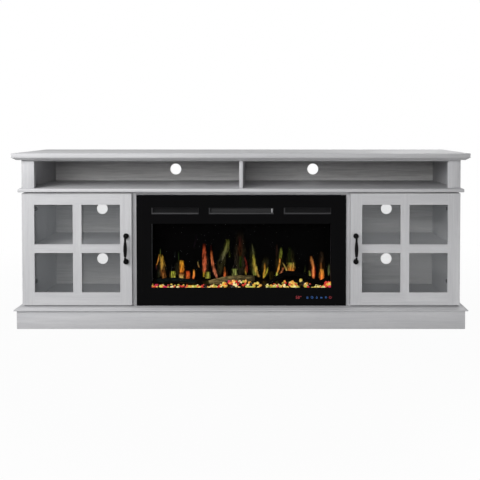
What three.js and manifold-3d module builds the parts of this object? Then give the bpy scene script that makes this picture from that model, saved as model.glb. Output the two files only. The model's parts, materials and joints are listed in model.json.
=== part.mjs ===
// Fireplace TV stand: a long low case with two open cubbies under its top, a glazed door at
// each side and an electric firebox in the bay between them.
// Millimetres, X to the right, Y to the back, Z up, origin on the floor under the middle.
import * as THREE from "three";
import { mergeVertices } from "three/addons/utils/BufferGeometryUtils.js";
import Module from "manifold-3d";

const wasm = await Module();
wasm.setup();

// Case
const caseWidth = 1903;
const depth = 400;
const boardThickness = 18;
const sideThickness = 16;
const backThickness = 3;
const plinthHeight = 78.5;
const plinthOverhang = 18.3;
const bottomThickness = 13.5;
const ledgeOverhang = 28.2;
const ledgeFlatOverhang = 10;
const ledgeDrop = 7;
const ledgeTipHeight = 4.5;
const bayHeight = 500.2;
const midThickness = 16;
const midOverhang = 12.6;
const midRoundover = 5;
const midArris = 1.5;
const cubbyHeight = 134;
const topThickness = 19;
const topOverhang = 31.5;
const mouldingHeight = 10.5;
const mouldingFootOverhang = 15.5;
const mouldingQuirk = 1;
const topRailHeight = 16;
const pilasterWidth = 54.5;
const dividerThickness = 16;
const partitionThickness = 18;
const bayWidth = 918;
const bayRailHeight = 14.5;

// Shelves and the holes for cables
const shelfThickness = 15;
const shelfHeight = 242.5;
const shelfSetback = 20;
const shelfBackGap = 2;
const shelfSideGap = 1.5;
const pinSpigotRadius = 2.5;
const pinSpigotLength = 8;
const pinCollarRadius = 4;
const pinCollarThickness = 1.2;
const pinStudRadius = 3;
const pinStudLength = 8;
const pinFromShelfEdge = 40;
const cableHoleRadius = 27;
const cubbyHoleFromMiddle = 340;
const cubbyHoleHeight = 56;
const upperHoleHeight = 117.7;
const lowerHoleHeight = 125.5;

// Doors
const doorPartitionLap = 1.5;
const doorThickness = 18;
const doorGap = 2;
const doorEndGap = 6;
const outerStileWidth = 53.5;
const innerStileWidth = 50;
const doorTopRailHeight = 49.5;
const doorBottomRailHeight = 55.8;
const mullionWidth = 38;
const midRailHeight = 37.5;
const frameFaceThickness = 8;
const rebateWidth = 8;
const paneThickness = 4;
const paneEdgeGap = 1;

// Arched pull on each door
const handleFromEdge = 22.5;
const handleRise = 4;
const handlePitch = 111.5;
const handleFootRadius = 10.5;
const handleFootProud = 7.5;
const gripMiddleRadius = 6.5;
const gripEndRadius = 4;
const gripLength = 78;
const gripProud = 24.5;

// Concealed hinges
const upperHingeInset = 78;
const lowerHingeInset = 85;
const cupRadius = 17.5;
const cupDepth = 11.5;
const cupWall = 1.2;
const cupInset = 22.5;
const cupBoreGap = 0.3;
const cupBoreDepth = 12;
const cupPlateWidth = 20;
const cupPlateHeight = 52;
const cupPlateThickness = 1.2;
const linkPivotInset = 14.4;
const linkPivotDepth = 3.4;
const linkBendInset = 12.1;
const linkBendReach = 6.9;
const linkTipOverlap = 5.5;
const linkTipReach = 9;
const linkThickness = 2.4;
const linkWidth = 11;
const linkEyeRadius = 3.5;
const hingePinRadius = 1.5;
const hingePinGap = 0.35;
const armCheekThickness = 1.5;
const armCheekRadius = 4;
const armWebSetback = 7;
const armLength = 62;
const armHeight = 9;
const armPlateThickness = 3;
const armPlateHeight = 48;
const armPlateLength = 44;
const armRiserLength = 36;

// Firebox front glass, its clear window and its vents
const frontGlassSideGap = 2;
const frontGlassTopGap = 1.5;
const frontGlassThickness = 4;
const frontGlassProud = 8;
const frontGlassLift = 0.5;
const windowBorder = 65;
const windowRise = 79;
const windowHead = 124.5;
const ventHeight = 28.5;
const ventRise = 42;
const centreVentWidth = 283;
const ventSpacing = 44.1;

// Firebox housing and what it holds
const housingSideGap = 12;
const housingTopGap = 6;
const housingDepth = 140;
const sheetThickness = 1.5;
const flangeWidth = 5;
const lowerDeckDrop = 35;
const upperDeckRise = 17;
const airSlotCount = 8;
const airSlotWidth = 70;
const airSlotHeight = 5;
const airSlotPitch = 11;
const airSlotFromMiddle = 250;
const airSlotInset = 40;
const glandRadius = 9;
const glandBoreRadius = 4.5;
const glandLength = 10;
const glandFromSide = 67;
const glandRise = 28;
const screenThickness = 3;
const fireDepth = 70;
const emberFrontRise = -2;
const emberMiddleRise = 13;
const emberBackRise = 25;
const emberOverlap = 20;
const shaftRadius = 3;
const shaftGap = 0.4;
const bearingRadius = 7;
const bearingLength = 8;
const rotorRadius = 18;
const rotorBladeCount = 12;
const rotorBladeLength = 46;
const rotorBladeThickness = 0.8;
const rotorRise = 34;
const rotorSetback = 31;
const rotorMotorRadius = 16;
const rotorMotorLength = 24;
const blowerRadius = 24;
const blowerLength = 236;
const blowerBladeCount = 14;
const blowerBladeDepth = 7;
const blowerBladeThickness = 1;
const blowerDiscThickness = 2;
const blowerRise = 37;
const blowerSetback = 52;
const blowerBracketWidth = 44;
const blowerBracketHeight = 70;
const blowerMotorRadius = 22;
const blowerMotorLength = 40;
const heaterWidth = 230;
const heaterHeight = 28;
const heaterDepth = 12;
const heaterSetback = 8;
const heaterFootWidth = 8;
const heaterCoreDepth = 4;
const heaterFinCount = 19;
const heaterFinThickness = 2;

// Logs on the ember bed, as places along the window, over its sill and behind the glass
const leftLogRadius = 10;
const centreLogRadius = 15;
const rightLogRadius = 10;
const leftLogReach = 378;
const leftLogEnd = 200;
const leftLogRise = 16;
const centreLogStart = 145;
const centreLogEnd = 55;
const centreLogRise = 23;
const centreLogSetback = 44;
const rightLogStart = 85;
const rightLogStartRise = 12;
const rightLogPeak = 212;
const rightLogPeakRise = 53;
const rightLogDip = 345;
const rightLogDipRise = 10;
const rightLogReach = 385;
const rightLogEndRise = 27;
const logSetback = 42;
const logDrift = 10;

// Steps along curves and round circles
const roundSteps = 4;
const circleSteps = 12;
const smallCircleSteps = 6;
const ballSteps = 8;

// Shares
const ledgeCurveShares = [[0.45, 0.02], [0.55, 0.75]];
const peakRunShare = 0.36;

// Coordinates are kept to this step, so that boards that meet share one plane
const gridStep = 0.001;
const overrun = 5;
const restGap = 0.3;

// Levels and faces that the pieces share
const caseHalf = caseWidth / 2;
const backY = depth / 2;
const caseBackY = backY - backThickness;
const faceY = -depth / 2 + topOverhang;
const caseFrontY = faceY + doorThickness + doorGap;
const floorZ = plinthHeight + bottomThickness;
const bayTopZ = floorZ + bayHeight;
const cubbyZ = bayTopZ + midThickness;
const topZ = cubbyZ + cubbyHeight;
const railZ = topZ - topRailHeight;
const sideInner = caseHalf - sideThickness;
const bayHalf = bayWidth / 2;
const bayRailZ = bayTopZ - bayRailHeight;
const partitionOuter = bayHalf + partitionThickness;

const unitX = new THREE.Vector3(1, 0, 0);
const unitY = new THREE.Vector3(0, 1, 0);
const unitZ = new THREE.Vector3(0, 0, 1);

const tvStand = new THREE.Group();

const finishes = {
  laminate: { color: 0xd2d2d4, roughness: 0.6, metalness: 0 },
  backboard: { color: 0xb9b9bc, roughness: 0.7, metalness: 0 },
  smokedGlass: { color: 0x8f959a, roughness: 0.08, metalness: 0, transparent: true, opacity: 0.4 },
  blackGlass: { color: 0x0b0b0c, roughness: 0.06, metalness: 0 },
  blackMetal: { color: 0x141414, roughness: 0.45, metalness: 0.8 },
  nickel: { color: 0xb8b8b4, roughness: 0.3, metalness: 1 },
  sheetSteel: { color: 0x2a2b2d, roughness: 0.5, metalness: 0.7 },
  screen: { color: 0x1a1a1c, roughness: 0.4, metalness: 0 },
  bark: { color: 0x33302a, roughness: 0.9, metalness: 0 },
  embers: { color: 0xb3471f, roughness: 0.4, metalness: 0 },
  whitePlastic: { color: 0xd8d8d4, roughness: 0.5, metalness: 0 },
};

function solid(geometry) {
  geometry.deleteAttribute("normal");
  geometry.deleteAttribute("uv");
  const merged = mergeVertices(geometry, gridStep);
  return new wasm.Manifold(new wasm.Mesh({
    numProp: 3,
    vertProperties: Float32Array.from(merged.attributes.position.array),
    triVerts: Uint32Array.from(merged.index.array),
  }));
}

function addPiece(name, shape, finish) {
  const mesh = shape.getMesh();
  const geometry = new THREE.BufferGeometry();
  const snapped = (value) => Math.round(value / gridStep) * gridStep;
  const positions = Float32Array.from(mesh.vertProperties, snapped);
  geometry.setAttribute("position", new THREE.BufferAttribute(positions, 3));
  geometry.setIndex(new THREE.BufferAttribute(Uint32Array.from(mesh.triVerts), 1));
  geometry.computeVertexNormals();
  const piece = new THREE.Mesh(geometry, new THREE.MeshStandardMaterial(finishes[finish]));
  piece.name = name;
  tvStand.add(piece);
}

// A block between two corners, given in either order
function block(xa, xb, ya, yb, za, zb) {
  const size = [xb - xa, yb - ya, zb - za].map(Math.abs);
  const geometry = new THREE.BoxGeometry(...size);
  geometry.translate((xa + xb) / 2, (ya + yb) / 2, (za + zb) / 2);
  return solid(geometry);
}

// An outline carried along one axis: it is drawn in Y and Z for x, X and Z for y, X and Y for z
function prism(axis, outline, from, to, segments = circleSteps) {
  const shape = Array.isArray(outline)
    ? new THREE.Shape(outline.map(([across, up]) => new THREE.Vector2(across, up)))
    : outline;
  const [low, high] = from < to ? [from, to] : [to, from];
  const geometry = new THREE.ExtrudeGeometry(shape, {
    depth: high - low,
    bevelEnabled: false,
    curveSegments: segments,
  });
  const turned = new THREE.Matrix4();
  if (axis === "x") {
    turned.makeBasis(unitY, unitZ, unitX).setPosition(low, 0, 0);
  } else if (axis === "y") {
    turned.makeBasis(unitX, unitZ, unitY.clone().negate()).setPosition(0, high, 0);
  } else {
    turned.setPosition(0, 0, low);
  }
  geometry.applyMatrix4(turned);
  return solid(geometry);
}

function disc(across, up, radius) {
  return new THREE.Shape().absarc(across, up, radius, 0, Math.PI * 2);
}

// A bar of round section along one axis
function rod(axis, across, up, radius, from, to) {
  return prism(axis, disc(across, up, radius), from, to);
}

// The same for pins, shafts and their holes, with half as many sides
function pinRod(axis, across, up, radius, from, to) {
  return prism(axis, disc(across, up, radius), from, to, smallCircleSteps);
}

function joined(first, ...others) {
  return others.reduce((whole, other) => whole.add(other), first);
}

function cut(first, ...tools) {
  return tools.reduce((whole, tool) => whole.subtract(tool), first);
}

// A board whose front and side edges follow one profile of [overhang, height], from the top down
function edgedBoard(profile) {
  const [topLevel, lowLevel] = [profile[0][1], profile[profile.length - 1][1]];
  const front = profile.map(([out, z]) => [faceY - out, z]);
  const right = profile.map(([out, z]) => [caseHalf + out, z]);
  const left = profile.map(([out, z]) => [-caseHalf - out, z]).reverse();
  const reach = caseHalf + topOverhang + overrun;
  const alongX = prism("x", [[caseBackY, topLevel], ...front, [caseBackY, lowLevel]], -reach, reach);
  const alongY = prism("y", [...right, ...left], -depth / 2 - overrun, caseBackY);
  return alongX.intersect(alongY);
}

// Points of a quarter round from one angle to another
function arcPoints(out, z, radius, fromAngle, toAngle) {
  const points = [];
  for (let step = 0; step <= roundSteps; step++) {
    const angle = fromAngle + (toAngle - fromAngle) * step / roundSteps;
    points.push([out + radius * Math.cos(angle), z + radius * Math.sin(angle)]);
  }
  return points;
}

// Bottom board: its edge runs flat, rolls over to a tip and turns back under to the plinth
function bottomProfile() {
  const run = ledgeOverhang - ledgeFlatOverhang;
  const controls = ledgeCurveShares.map(([runShare, dropShare]) => new THREE.Vector2(
    ledgeFlatOverhang + run * runShare,
    floorZ - ledgeDrop * dropShare,
  ));
  const curve = new THREE.CubicBezierCurve(
    new THREE.Vector2(ledgeFlatOverhang, floorZ),
    ...controls,
    new THREE.Vector2(ledgeOverhang, floorZ - ledgeDrop),
  );
  return [
    ...curve.getPoints(roundSteps + roundSteps).map((point) => [point.x, point.y]),
    [ledgeOverhang, floorZ - ledgeDrop - ledgeTipHeight],
    [plinthOverhang, plinthHeight],
  ];
}

// Middle board: rounded over above, with a fine arris below
function midProfile() {
  return [
    ...arcPoints(midOverhang - midRoundover, cubbyZ - midRoundover, midRoundover, Math.PI / 2, 0),
    [midOverhang, bayTopZ + midArris],
    [midOverhang - midArris, bayTopZ],
  ];
}

// Moulding under the top: a chamfer that starts flush with the top's edge
function mouldingProfile() {
  return [
    [topOverhang - mouldingQuirk, topZ],
    [mouldingFootOverhang, topZ - mouldingHeight],
  ];
}

function buildCase() {
  const topHalf = caseHalf + topOverhang;
  addPiece("top_panel", block(-topHalf, topHalf, -backY, backY, topZ, topZ + topThickness), "laminate");
  const behindFaces = block(-caseHalf, caseHalf, faceY, backY, railZ, topZ + overrun);
  addPiece("top_moulding", cut(edgedBoard(mouldingProfile()), behindFaces), "laminate");
  addPiece(
    "top_front_rail",
    block(-caseHalf, caseHalf, faceY, faceY + boardThickness, railZ, topZ),
    "laminate",
  );
  addPiece("mid_panel", edgedBoard(midProfile()), "laminate");
  addPiece("bottom_panel", edgedBoard(bottomProfile()), "laminate");
  const dividerHalf = dividerThickness / 2;
  const divider = block(-dividerHalf, dividerHalf, faceY, caseBackY, cubbyZ, topZ);
  const railNotch = block(
    -caseHalf, caseHalf, faceY - overrun, faceY + boardThickness, railZ, topZ + overrun);
  addPiece("centre_divider", cut(divider, railNotch), "laminate");
  addPiece(
    "bay_top_rail",
    block(-bayHalf, bayHalf, caseFrontY, caseFrontY + boardThickness, bayRailZ, bayTopZ),
    "laminate",
  );
  for (const [side, sideName] of [[-1, "left"], [1, "right"]]) {
    addPiece(
      `${sideName}_pilaster`,
      block(side * (caseHalf - pilasterWidth), side * caseHalf, faceY, faceY + boardThickness, cubbyZ, railZ),
      "laminate",
    );
    addPiece(
      `${sideName}_upper_side`,
      block(side * sideInner, side * caseHalf, faceY + boardThickness, caseBackY, cubbyZ, topZ),
      "laminate",
    );
    const lowerSide = block(side * sideInner, side * caseHalf, caseFrontY, caseBackY, floorZ, bayTopZ);
    const partition = block(
      side * bayHalf, side * partitionOuter, caseFrontY, caseBackY, floorZ, bayTopZ);
    addPiece(`${sideName}_lower_side`, cut(lowerSide, ...pinHoles(side)), "laminate");
    addPiece(`${sideName}_partition`, cut(partition, ...pinHoles(side)), "laminate");
  }
}

function buildPlinth() {
  const outer = caseHalf + plinthOverhang;
  const inner = outer - boardThickness;
  const frontY = faceY - plinthOverhang;
  const frontBackY = frontY + boardThickness;
  addPiece("plinth_front", block(-outer, outer, frontY, frontBackY, 0, plinthHeight), "laminate");
  addPiece("plinth_left", block(-outer, -inner, frontBackY, caseBackY, 0, plinthHeight), "laminate");
  addPiece("plinth_right", block(inner, outer, frontBackY, caseBackY, 0, plinthHeight), "laminate");
  addPiece(
    "plinth_back",
    block(-inner, inner, caseBackY - boardThickness, caseBackY, 0, plinthHeight),
    "laminate",
  );
}

// Thin boards over the back of the cubbies and of the two cupboards, with holes for cables
function buildBacks() {
  const overlapZ = (bayTopZ + cubbyZ) / 2;
  const lowZ = (plinthHeight + floorZ) / 2;
  const cubbyHoles = [-1, 1].map((side) => rod(
    "y", side * cubbyHoleFromMiddle, cubbyZ + cubbyHoleHeight, cableHoleRadius,
    caseBackY - overrun, backY + overrun,
  ));
  const upperBack = block(-caseHalf, caseHalf, caseBackY, backY, overlapZ, topZ);
  addPiece("upper_back_panel", cut(upperBack, ...cubbyHoles), "backboard");
  const shelfTopZ = floorZ + shelfHeight + shelfThickness;
  const doorHoleX = (partitionOuter + sideInner) / 2;
  for (const [side, sideName] of [[-1, "left"], [1, "right"]]) {
    const holes = [floorZ + lowerHoleHeight, shelfTopZ + upperHoleHeight].map((height) => rod(
      "y", side * doorHoleX, height, cableHoleRadius, caseBackY - overrun, backY + overrun,
    ));
    const partitionMiddle = bayHalf + partitionThickness / 2;
    const back = block(side * partitionMiddle, side * caseHalf, caseBackY, backY, lowZ, overlapZ);
    addPiece(`${sideName}_back_panel`, cut(back, ...holes), "backboard");
  }
}

const shelfFrontY = caseFrontY + shelfSetback;
const shelfBackY = caseBackY - shelfBackGap;
const pinZ = floorZ + shelfHeight - restGap - pinStudRadius;
const pinYs = [["front", shelfFrontY + pinFromShelfEdge], ["back", shelfBackY - pinFromShelfEdge]];

// Blind holes for the shelf pins, cut into a lower side or a partition alike
function pinHoles(side) {
  const radius = pinSpigotRadius + restGap;
  const reach = pinSpigotLength + restGap;
  return pinYs.flatMap(([, y]) => [
    pinRod("x", y, pinZ, radius, side * (sideInner + reach), side * (sideInner - overrun)),
    pinRod("x", y, pinZ, radius, side * (partitionOuter - reach), side * (partitionOuter + overrun)),
  ]);
}

function buildShelves() {
  for (const [side, sideName] of [[-1, "left"], [1, "right"]]) {
    const shelf = block(
      side * (partitionOuter + shelfSideGap), side * (sideInner - shelfSideGap),
      shelfFrontY, shelfBackY,
      floorZ + shelfHeight, floorZ + shelfHeight + shelfThickness,
    );
    addPiece(`${sideName}_shelf`, shelf, "laminate");
    for (const [place, wall, inward] of [["outer", sideInner, -1], ["inner", partitionOuter, 1]]) {
      for (const [end, y] of pinYs) {
        const at = (reach) => side * (wall + inward * reach);
        const pin = joined(
          pinRod("x", y, pinZ, pinSpigotRadius, at(-pinSpigotLength), at(pinCollarThickness)),
          pinRod("x", y, pinZ, pinCollarRadius, at(0), at(pinCollarThickness)),
          pinRod("x", y, pinZ, pinStudRadius, at(0), at(pinCollarThickness + pinStudLength)),
        );
        addPiece(`${sideName}_shelf_pin_${place}_${end}`, pin, "nickel");
      }
    }
  }
}

const doorBottomZ = floorZ + doorEndGap;
const doorTopZ = bayTopZ - doorEndGap;
const doorBackY = faceY + doorThickness;
const doorInner = partitionOuter - doorPartitionLap;
const hingeZs = [["upper", doorTopZ - upperHingeInset], ["lower", doorBottomZ + lowerHingeInset]];

function buildDoor(side, sideName) {
  const paneLeft = doorInner + innerStileWidth;
  const paneRight = caseHalf - outerStileWidth;
  const paneLowZ = doorBottomZ + doorBottomRailHeight;
  const paneTopZ = doorTopZ - doorTopRailHeight;
  const middleX = (paneLeft + paneRight) / 2;
  const middleZ = (paneLowZ + paneTopZ) / 2;
  const panes = [];
  const columns = [[paneLeft, middleX - mullionWidth / 2], [middleX + mullionWidth / 2, paneRight]];
  const rows = [[paneLowZ, middleZ - midRailHeight / 2], [middleZ + midRailHeight / 2, paneTopZ]];
  for (const [xa, xb] of columns) {
    for (const [za, zb] of rows) {
      panes.push(block(side * xa, side * xb, faceY - overrun, doorBackY + overrun, za, zb));
    }
  }
  const glassSeatY = faceY + frameFaceThickness;
  const rebate = block(
    side * (paneLeft - rebateWidth), side * (paneRight + rebateWidth),
    glassSeatY, doorBackY + overrun,
    paneLowZ - rebateWidth, paneTopZ + rebateWidth,
  );
  const cupBores = hingeZs.map(([, z]) => rod(
    "y", side * (caseHalf - cupInset), z, cupRadius + cupBoreGap,
    doorBackY - cupBoreDepth, doorBackY + overrun,
  ));
  const slab = block(side * doorInner, side * caseHalf, faceY, doorBackY, doorBottomZ, doorTopZ);
  addPiece(`${sideName}_door_frame`, cut(slab, ...panes, rebate, ...cupBores), "laminate");
  const glassInset = rebateWidth - paneEdgeGap;
  const glass = block(
    side * (paneLeft - glassInset), side * (paneRight + glassInset),
    glassSeatY + restGap, glassSeatY + restGap + paneThickness,
    paneLowZ - glassInset, paneTopZ + glassInset,
  );
  addPiece(`${sideName}_door_glass`, glass, "smokedGlass");
}

// Pull: a spindle grip carried in front of the stile by two bends that grow out of round feet
function buildHandle(side, sideName) {
  const x = side * (doorInner + handleFromEdge);
  const z = (doorBottomZ + doorTopZ) / 2 + handleRise;
  const halfGrip = gripLength / 2;
  const profile = [new THREE.Vector2(0, -halfGrip)];
  const steps = roundSteps + roundSteps;
  for (let step = 0; step <= steps; step++) {
    const along = step / steps * 2 - 1;
    const swell = Math.cos(along * Math.PI / 2);
    const radius = gripEndRadius + (gripMiddleRadius - gripEndRadius) * swell;
    profile.push(new THREE.Vector2(radius, along * halfGrip));
  }
  profile.push(new THREE.Vector2(0, halfGrip));
  const spindle = new THREE.LatheGeometry(profile, circleSteps);
  spindle.rotateX(Math.PI / 2);
  spindle.translate(x, faceY - gripProud, z);
  const pieces = [solid(spindle)];
  for (const end of [-1, 1]) {
    const footZ = z + end * handlePitch / 2;
    const bend = new THREE.QuadraticBezierCurve3(
      new THREE.Vector3(x, faceY - gripProud, z + end * (halfGrip - gripEndRadius)),
      new THREE.Vector3(x, faceY - gripProud, footZ),
      new THREE.Vector3(x, faceY - handleFootProud, footZ),
    );
    const section = new THREE.Shape().absarc(0, 0, gripEndRadius, 0, Math.PI * 2);
    const tube = new THREE.ExtrudeGeometry(section, {
      extrudePath: bend,
      steps: smallCircleSteps,
      curveSegments: smallCircleSteps,
    });
    const foot = new THREE.SphereGeometry(handleFootRadius, circleSteps, ballSteps);
    foot.rotateX(Math.PI / 2);
    foot.translate(x, faceY - handleFootProud, footZ);
    pieces.push(solid(tube), solid(foot));
  }
  const behindDoorFace = block(
    x - handlePitch, x + handlePitch, faceY, faceY + handlePitch, z - handlePitch, z + handlePitch);
  addPiece(`${sideName}_handle`, cut(joined(...pieces), behindDoorFace), "blackMetal");
}

// Cup hinge: a cup let into the door, an arm on the case side and a bent link between them
function buildHinge(side, sideName, place, z) {
  const prefix = `${sideName}_${place}_hinge`;
  const cupX = side * (caseHalf - cupInset);
  const plateY = doorBackY + cupPlateThickness;
  // The rim stands proud only over the plate's width, so that the link can turn past it
  const rimReliefs = [-1, 1].map((edge) => block(
    cupX + edge * cupPlateWidth / 2, cupX + edge * (cupRadius + overrun),
    doorBackY, plateY + overrun,
    z - cupPlateHeight, z + cupPlateHeight,
  ));
  const cup = cut(
    joined(
      rod("y", cupX, z, cupRadius, doorBackY - cupDepth, plateY),
      block(
        cupX - cupPlateWidth / 2, cupX + cupPlateWidth / 2,
        doorBackY, plateY,
        z - cupPlateHeight / 2, z + cupPlateHeight / 2,
      ),
    ),
    rod("y", cupX, z, cupRadius - cupWall, doorBackY - cupDepth + cupWall, plateY + overrun),
    ...rimReliefs,
  );
  addPiece(`${prefix}_cup`, cup, "blackMetal");

  const pivot = new THREE.Vector2(side * (sideInner - linkPivotInset), caseFrontY + linkPivotDepth);
  const bend = new THREE.Vector2(side * (sideInner - linkBendInset), caseFrontY - linkBendReach);
  const tip = new THREE.Vector2(side * (sideInner + linkTipOverlap), caseFrontY - linkTipReach);
  const path = new THREE.QuadraticBezierCurve(pivot, bend, tip);
  const near = [];
  const far = [];
  for (let step = 0; step <= smallCircleSteps; step++) {
    const point = path.getPoint(step / smallCircleSteps);
    const along = path.getTangent(step / smallCircleSteps);
    const offset = new THREE.Vector2(-along.y, along.x).multiplyScalar(linkThickness / 2);
    near.push(point.clone().add(offset).toArray());
    far.push(point.clone().sub(offset).toArray());
  }
  const [lowZ, highZ] = [z - linkWidth / 2, z + linkWidth / 2];
  const link = cut(
    joined(
      prism("z", [...near, ...far.reverse()], lowZ, highZ),
      pinRod("z", pivot.x, pivot.y, linkEyeRadius, lowZ, highZ),
    ),
    pinRod("z", pivot.x, pivot.y, hingePinRadius + hingePinGap, lowZ - overrun, highZ + overrun),
  );
  addPiece(`${prefix}_link`, link, "blackMetal");

  const wall = side * sideInner;
  const cheekGap = linkWidth / 2 + restGap;
  const cheekOuter = cheekGap + armCheekThickness;
  const webY = pivot.y + armWebSetback;
  const armEndY = pivot.y + armLength;
  const armLow = side * (sideInner - linkPivotInset + armHeight / 2);
  const armHigh = side * (sideInner - linkPivotInset - armHeight / 2);
  const slot = block(
    armLow, armHigh, pivot.y - linkPivotInset, webY, z - cheekGap, z + cheekGap);
  const cheeks = cut(
    joined(
      pinRod("z", pivot.x, pivot.y, armCheekRadius, z - cheekOuter, z + cheekOuter),
      block(armLow, armHigh, pivot.y, armEndY, z - cheekOuter, z + cheekOuter),
    ),
    slot,
  );
  const plateMiddleY = (webY + armEndY) / 2;
  const arm = joined(
    cheeks,
    pinRod("z", pivot.x, pivot.y, hingePinRadius, z - cheekGap, z + cheekGap),
    block(
      armLow, wall,
      plateMiddleY - armRiserLength / 2, plateMiddleY + armRiserLength / 2,
      z - cheekOuter, z + cheekOuter,
    ),
    block(
      wall, side * (sideInner - armPlateThickness),
      plateMiddleY - armPlateLength / 2, plateMiddleY + armPlateLength / 2,
      z - armPlateHeight / 2, z + armPlateHeight / 2,
    ),
  );
  addPiece(`${prefix}_arm`, arm, "blackMetal");
}

const frontGlassY = caseFrontY - frontGlassProud;
const housingFrontY = frontGlassY + frontGlassThickness;
const housingBackY = housingFrontY + housingDepth;
const housingHalf = bayHalf - housingSideGap;
const frontGlassHalf = bayHalf - frontGlassSideGap;
const windowHalf = frontGlassHalf - windowBorder;
const frontGlassZ = floorZ + frontGlassLift;
const frontGlassTopZ = bayRailZ - frontGlassTopGap;
const windowZ = frontGlassZ + windowRise;
const windowTopZ = frontGlassTopZ - windowHead;
const lowerDeckZ = windowZ - lowerDeckDrop;
const upperDeckZ = windowTopZ + upperDeckRise;
const upperDeckTopZ = upperDeckZ + sheetThickness;
const ventZ = windowTopZ + ventRise;
const screenY = housingFrontY + fireDepth;
const innerHalf = housingHalf - sheetThickness;
const rotorY = screenY + screenThickness + rotorSetback;
const rotorZ = lowerDeckZ + rotorRise;
const blowerY = housingFrontY + blowerSetback;
const blowerZ = upperDeckTopZ + blowerRise;
const blowerHalf = blowerLength / 2;
const bracketInner = blowerHalf + restGap + restGap;
const bracketOuter = bracketInner + sheetThickness;

function buildFrontGlass() {
  const vents = [];
  const centreVentHalf = centreVentWidth / 2;
  const sideVentInner = centreVentHalf + ventSpacing;
  const spans = [
    [-windowHalf, -sideVentInner],
    [-centreVentHalf, centreVentHalf],
    [sideVentInner, windowHalf],
  ];
  for (const [xa, xb] of spans) {
    vents.push(block(xa, xb, frontGlassY - overrun, housingFrontY + overrun, ventZ, ventZ + ventHeight));
  }
  const pane = block(
    -frontGlassHalf, frontGlassHalf, frontGlassY, housingFrontY, frontGlassZ, frontGlassTopZ);
  addPiece("front_glass", cut(pane, ...vents), "blackGlass");
}

// Sheet steel box with a front flange, two decks, blower brackets, two motors and a cable gland
function buildHousing() {
  const housingTopZ = bayRailZ - housingTopGap - flangeWidth;
  const flangeHalf = housingHalf + flangeWidth;
  const flangeBackY = housingFrontY + sheetThickness;
  const shell = joined(
    block(-housingHalf, housingHalf, housingFrontY, housingBackY, floorZ, housingTopZ),
    block(-flangeHalf, flangeHalf, housingFrontY, flangeBackY, floorZ, housingTopZ + flangeWidth),
  );
  const hollow = block(
    -innerHalf, innerHalf,
    housingFrontY - overrun, housingBackY - sheetThickness,
    floorZ + sheetThickness, housingTopZ - sheetThickness,
  );
  const airSlots = [];
  for (const side of [-1, 1]) {
    for (let slot = 0; slot < airSlotCount; slot++) {
      const slotX = side * airSlotFromMiddle;
      const slotZ = housingTopZ - airSlotInset - slot * airSlotPitch;
      airSlots.push(block(
        slotX - airSlotWidth / 2, slotX + airSlotWidth / 2,
        housingBackY - overrun, housingBackY + overrun,
        slotZ, slotZ + airSlotHeight,
      ));
    }
  }
  const decks = [lowerDeckZ - sheetThickness, upperDeckZ].map((z) => block(
    -innerHalf, innerHalf, housingFrontY, housingBackY - sheetThickness, z, z + sheetThickness));
  const brackets = [-1, 1].map((side) => block(
    side * bracketInner, side * bracketOuter,
    blowerY - blowerBracketWidth / 2, blowerY + blowerBracketWidth / 2,
    upperDeckTopZ, upperDeckTopZ + blowerBracketHeight,
  ));
  const bearings = [
    rod("x", blowerY, blowerZ, bearingRadius, -bracketOuter - bearingLength, -bracketInner),
    rod("x", blowerY, blowerZ, blowerMotorRadius, bracketInner, bracketOuter + blowerMotorLength),
    rod("x", rotorY, rotorZ, rotorMotorRadius, -innerHalf, -innerHalf + rotorMotorLength),
    rod("x", rotorY, rotorZ, bearingRadius, innerHalf - bearingLength, innerHalf),
  ];
  const glandX = housingHalf - glandFromSide;
  const glandZ = floorZ + glandRise;
  const gland = rod("y", glandX, glandZ, glandRadius, housingBackY, housingBackY + glandLength);
  const glandBore = rod(
    "y", glandX, glandZ, glandBoreRadius,
    housingBackY - overrun, housingBackY + glandLength + overrun,
  );
  const boreRadius = shaftRadius + shaftGap;
  const shaftBores = [
    pinRod(
      "x", blowerY, blowerZ, boreRadius,
      -bracketOuter - bearingLength - overrun, bracketOuter + bearingLength,
    ),
    pinRod("x", rotorY, rotorZ, boreRadius, -innerHalf, innerHalf),
  ];
  const whole = joined(cut(shell, hollow, ...airSlots), ...decks, ...brackets, ...bearings, gland);
  addPiece("firebox_housing", cut(whole, glandBore, ...shaftBores), "sheetSteel");
}

// Ember bed: its top climbs from the window's sill to the screen
function emberBed(lift, extra) {
  const bedHalf = windowHalf + emberOverlap + extra;
  const bedFrontY = housingFrontY + restGap - extra;
  const bedBackY = screenY - restGap + extra;
  const middleY = (bedFrontY + bedBackY) / 2;
  return prism("x", [
    [bedFrontY, lowerDeckZ],
    [bedBackY, lowerDeckZ],
    [bedBackY, windowZ + emberBackRise + lift],
    [middleY, windowZ + emberMiddleRise + lift],
    [bedFrontY, windowZ + emberFrontRise + lift],
  ], -bedHalf, bedHalf);
}

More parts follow.
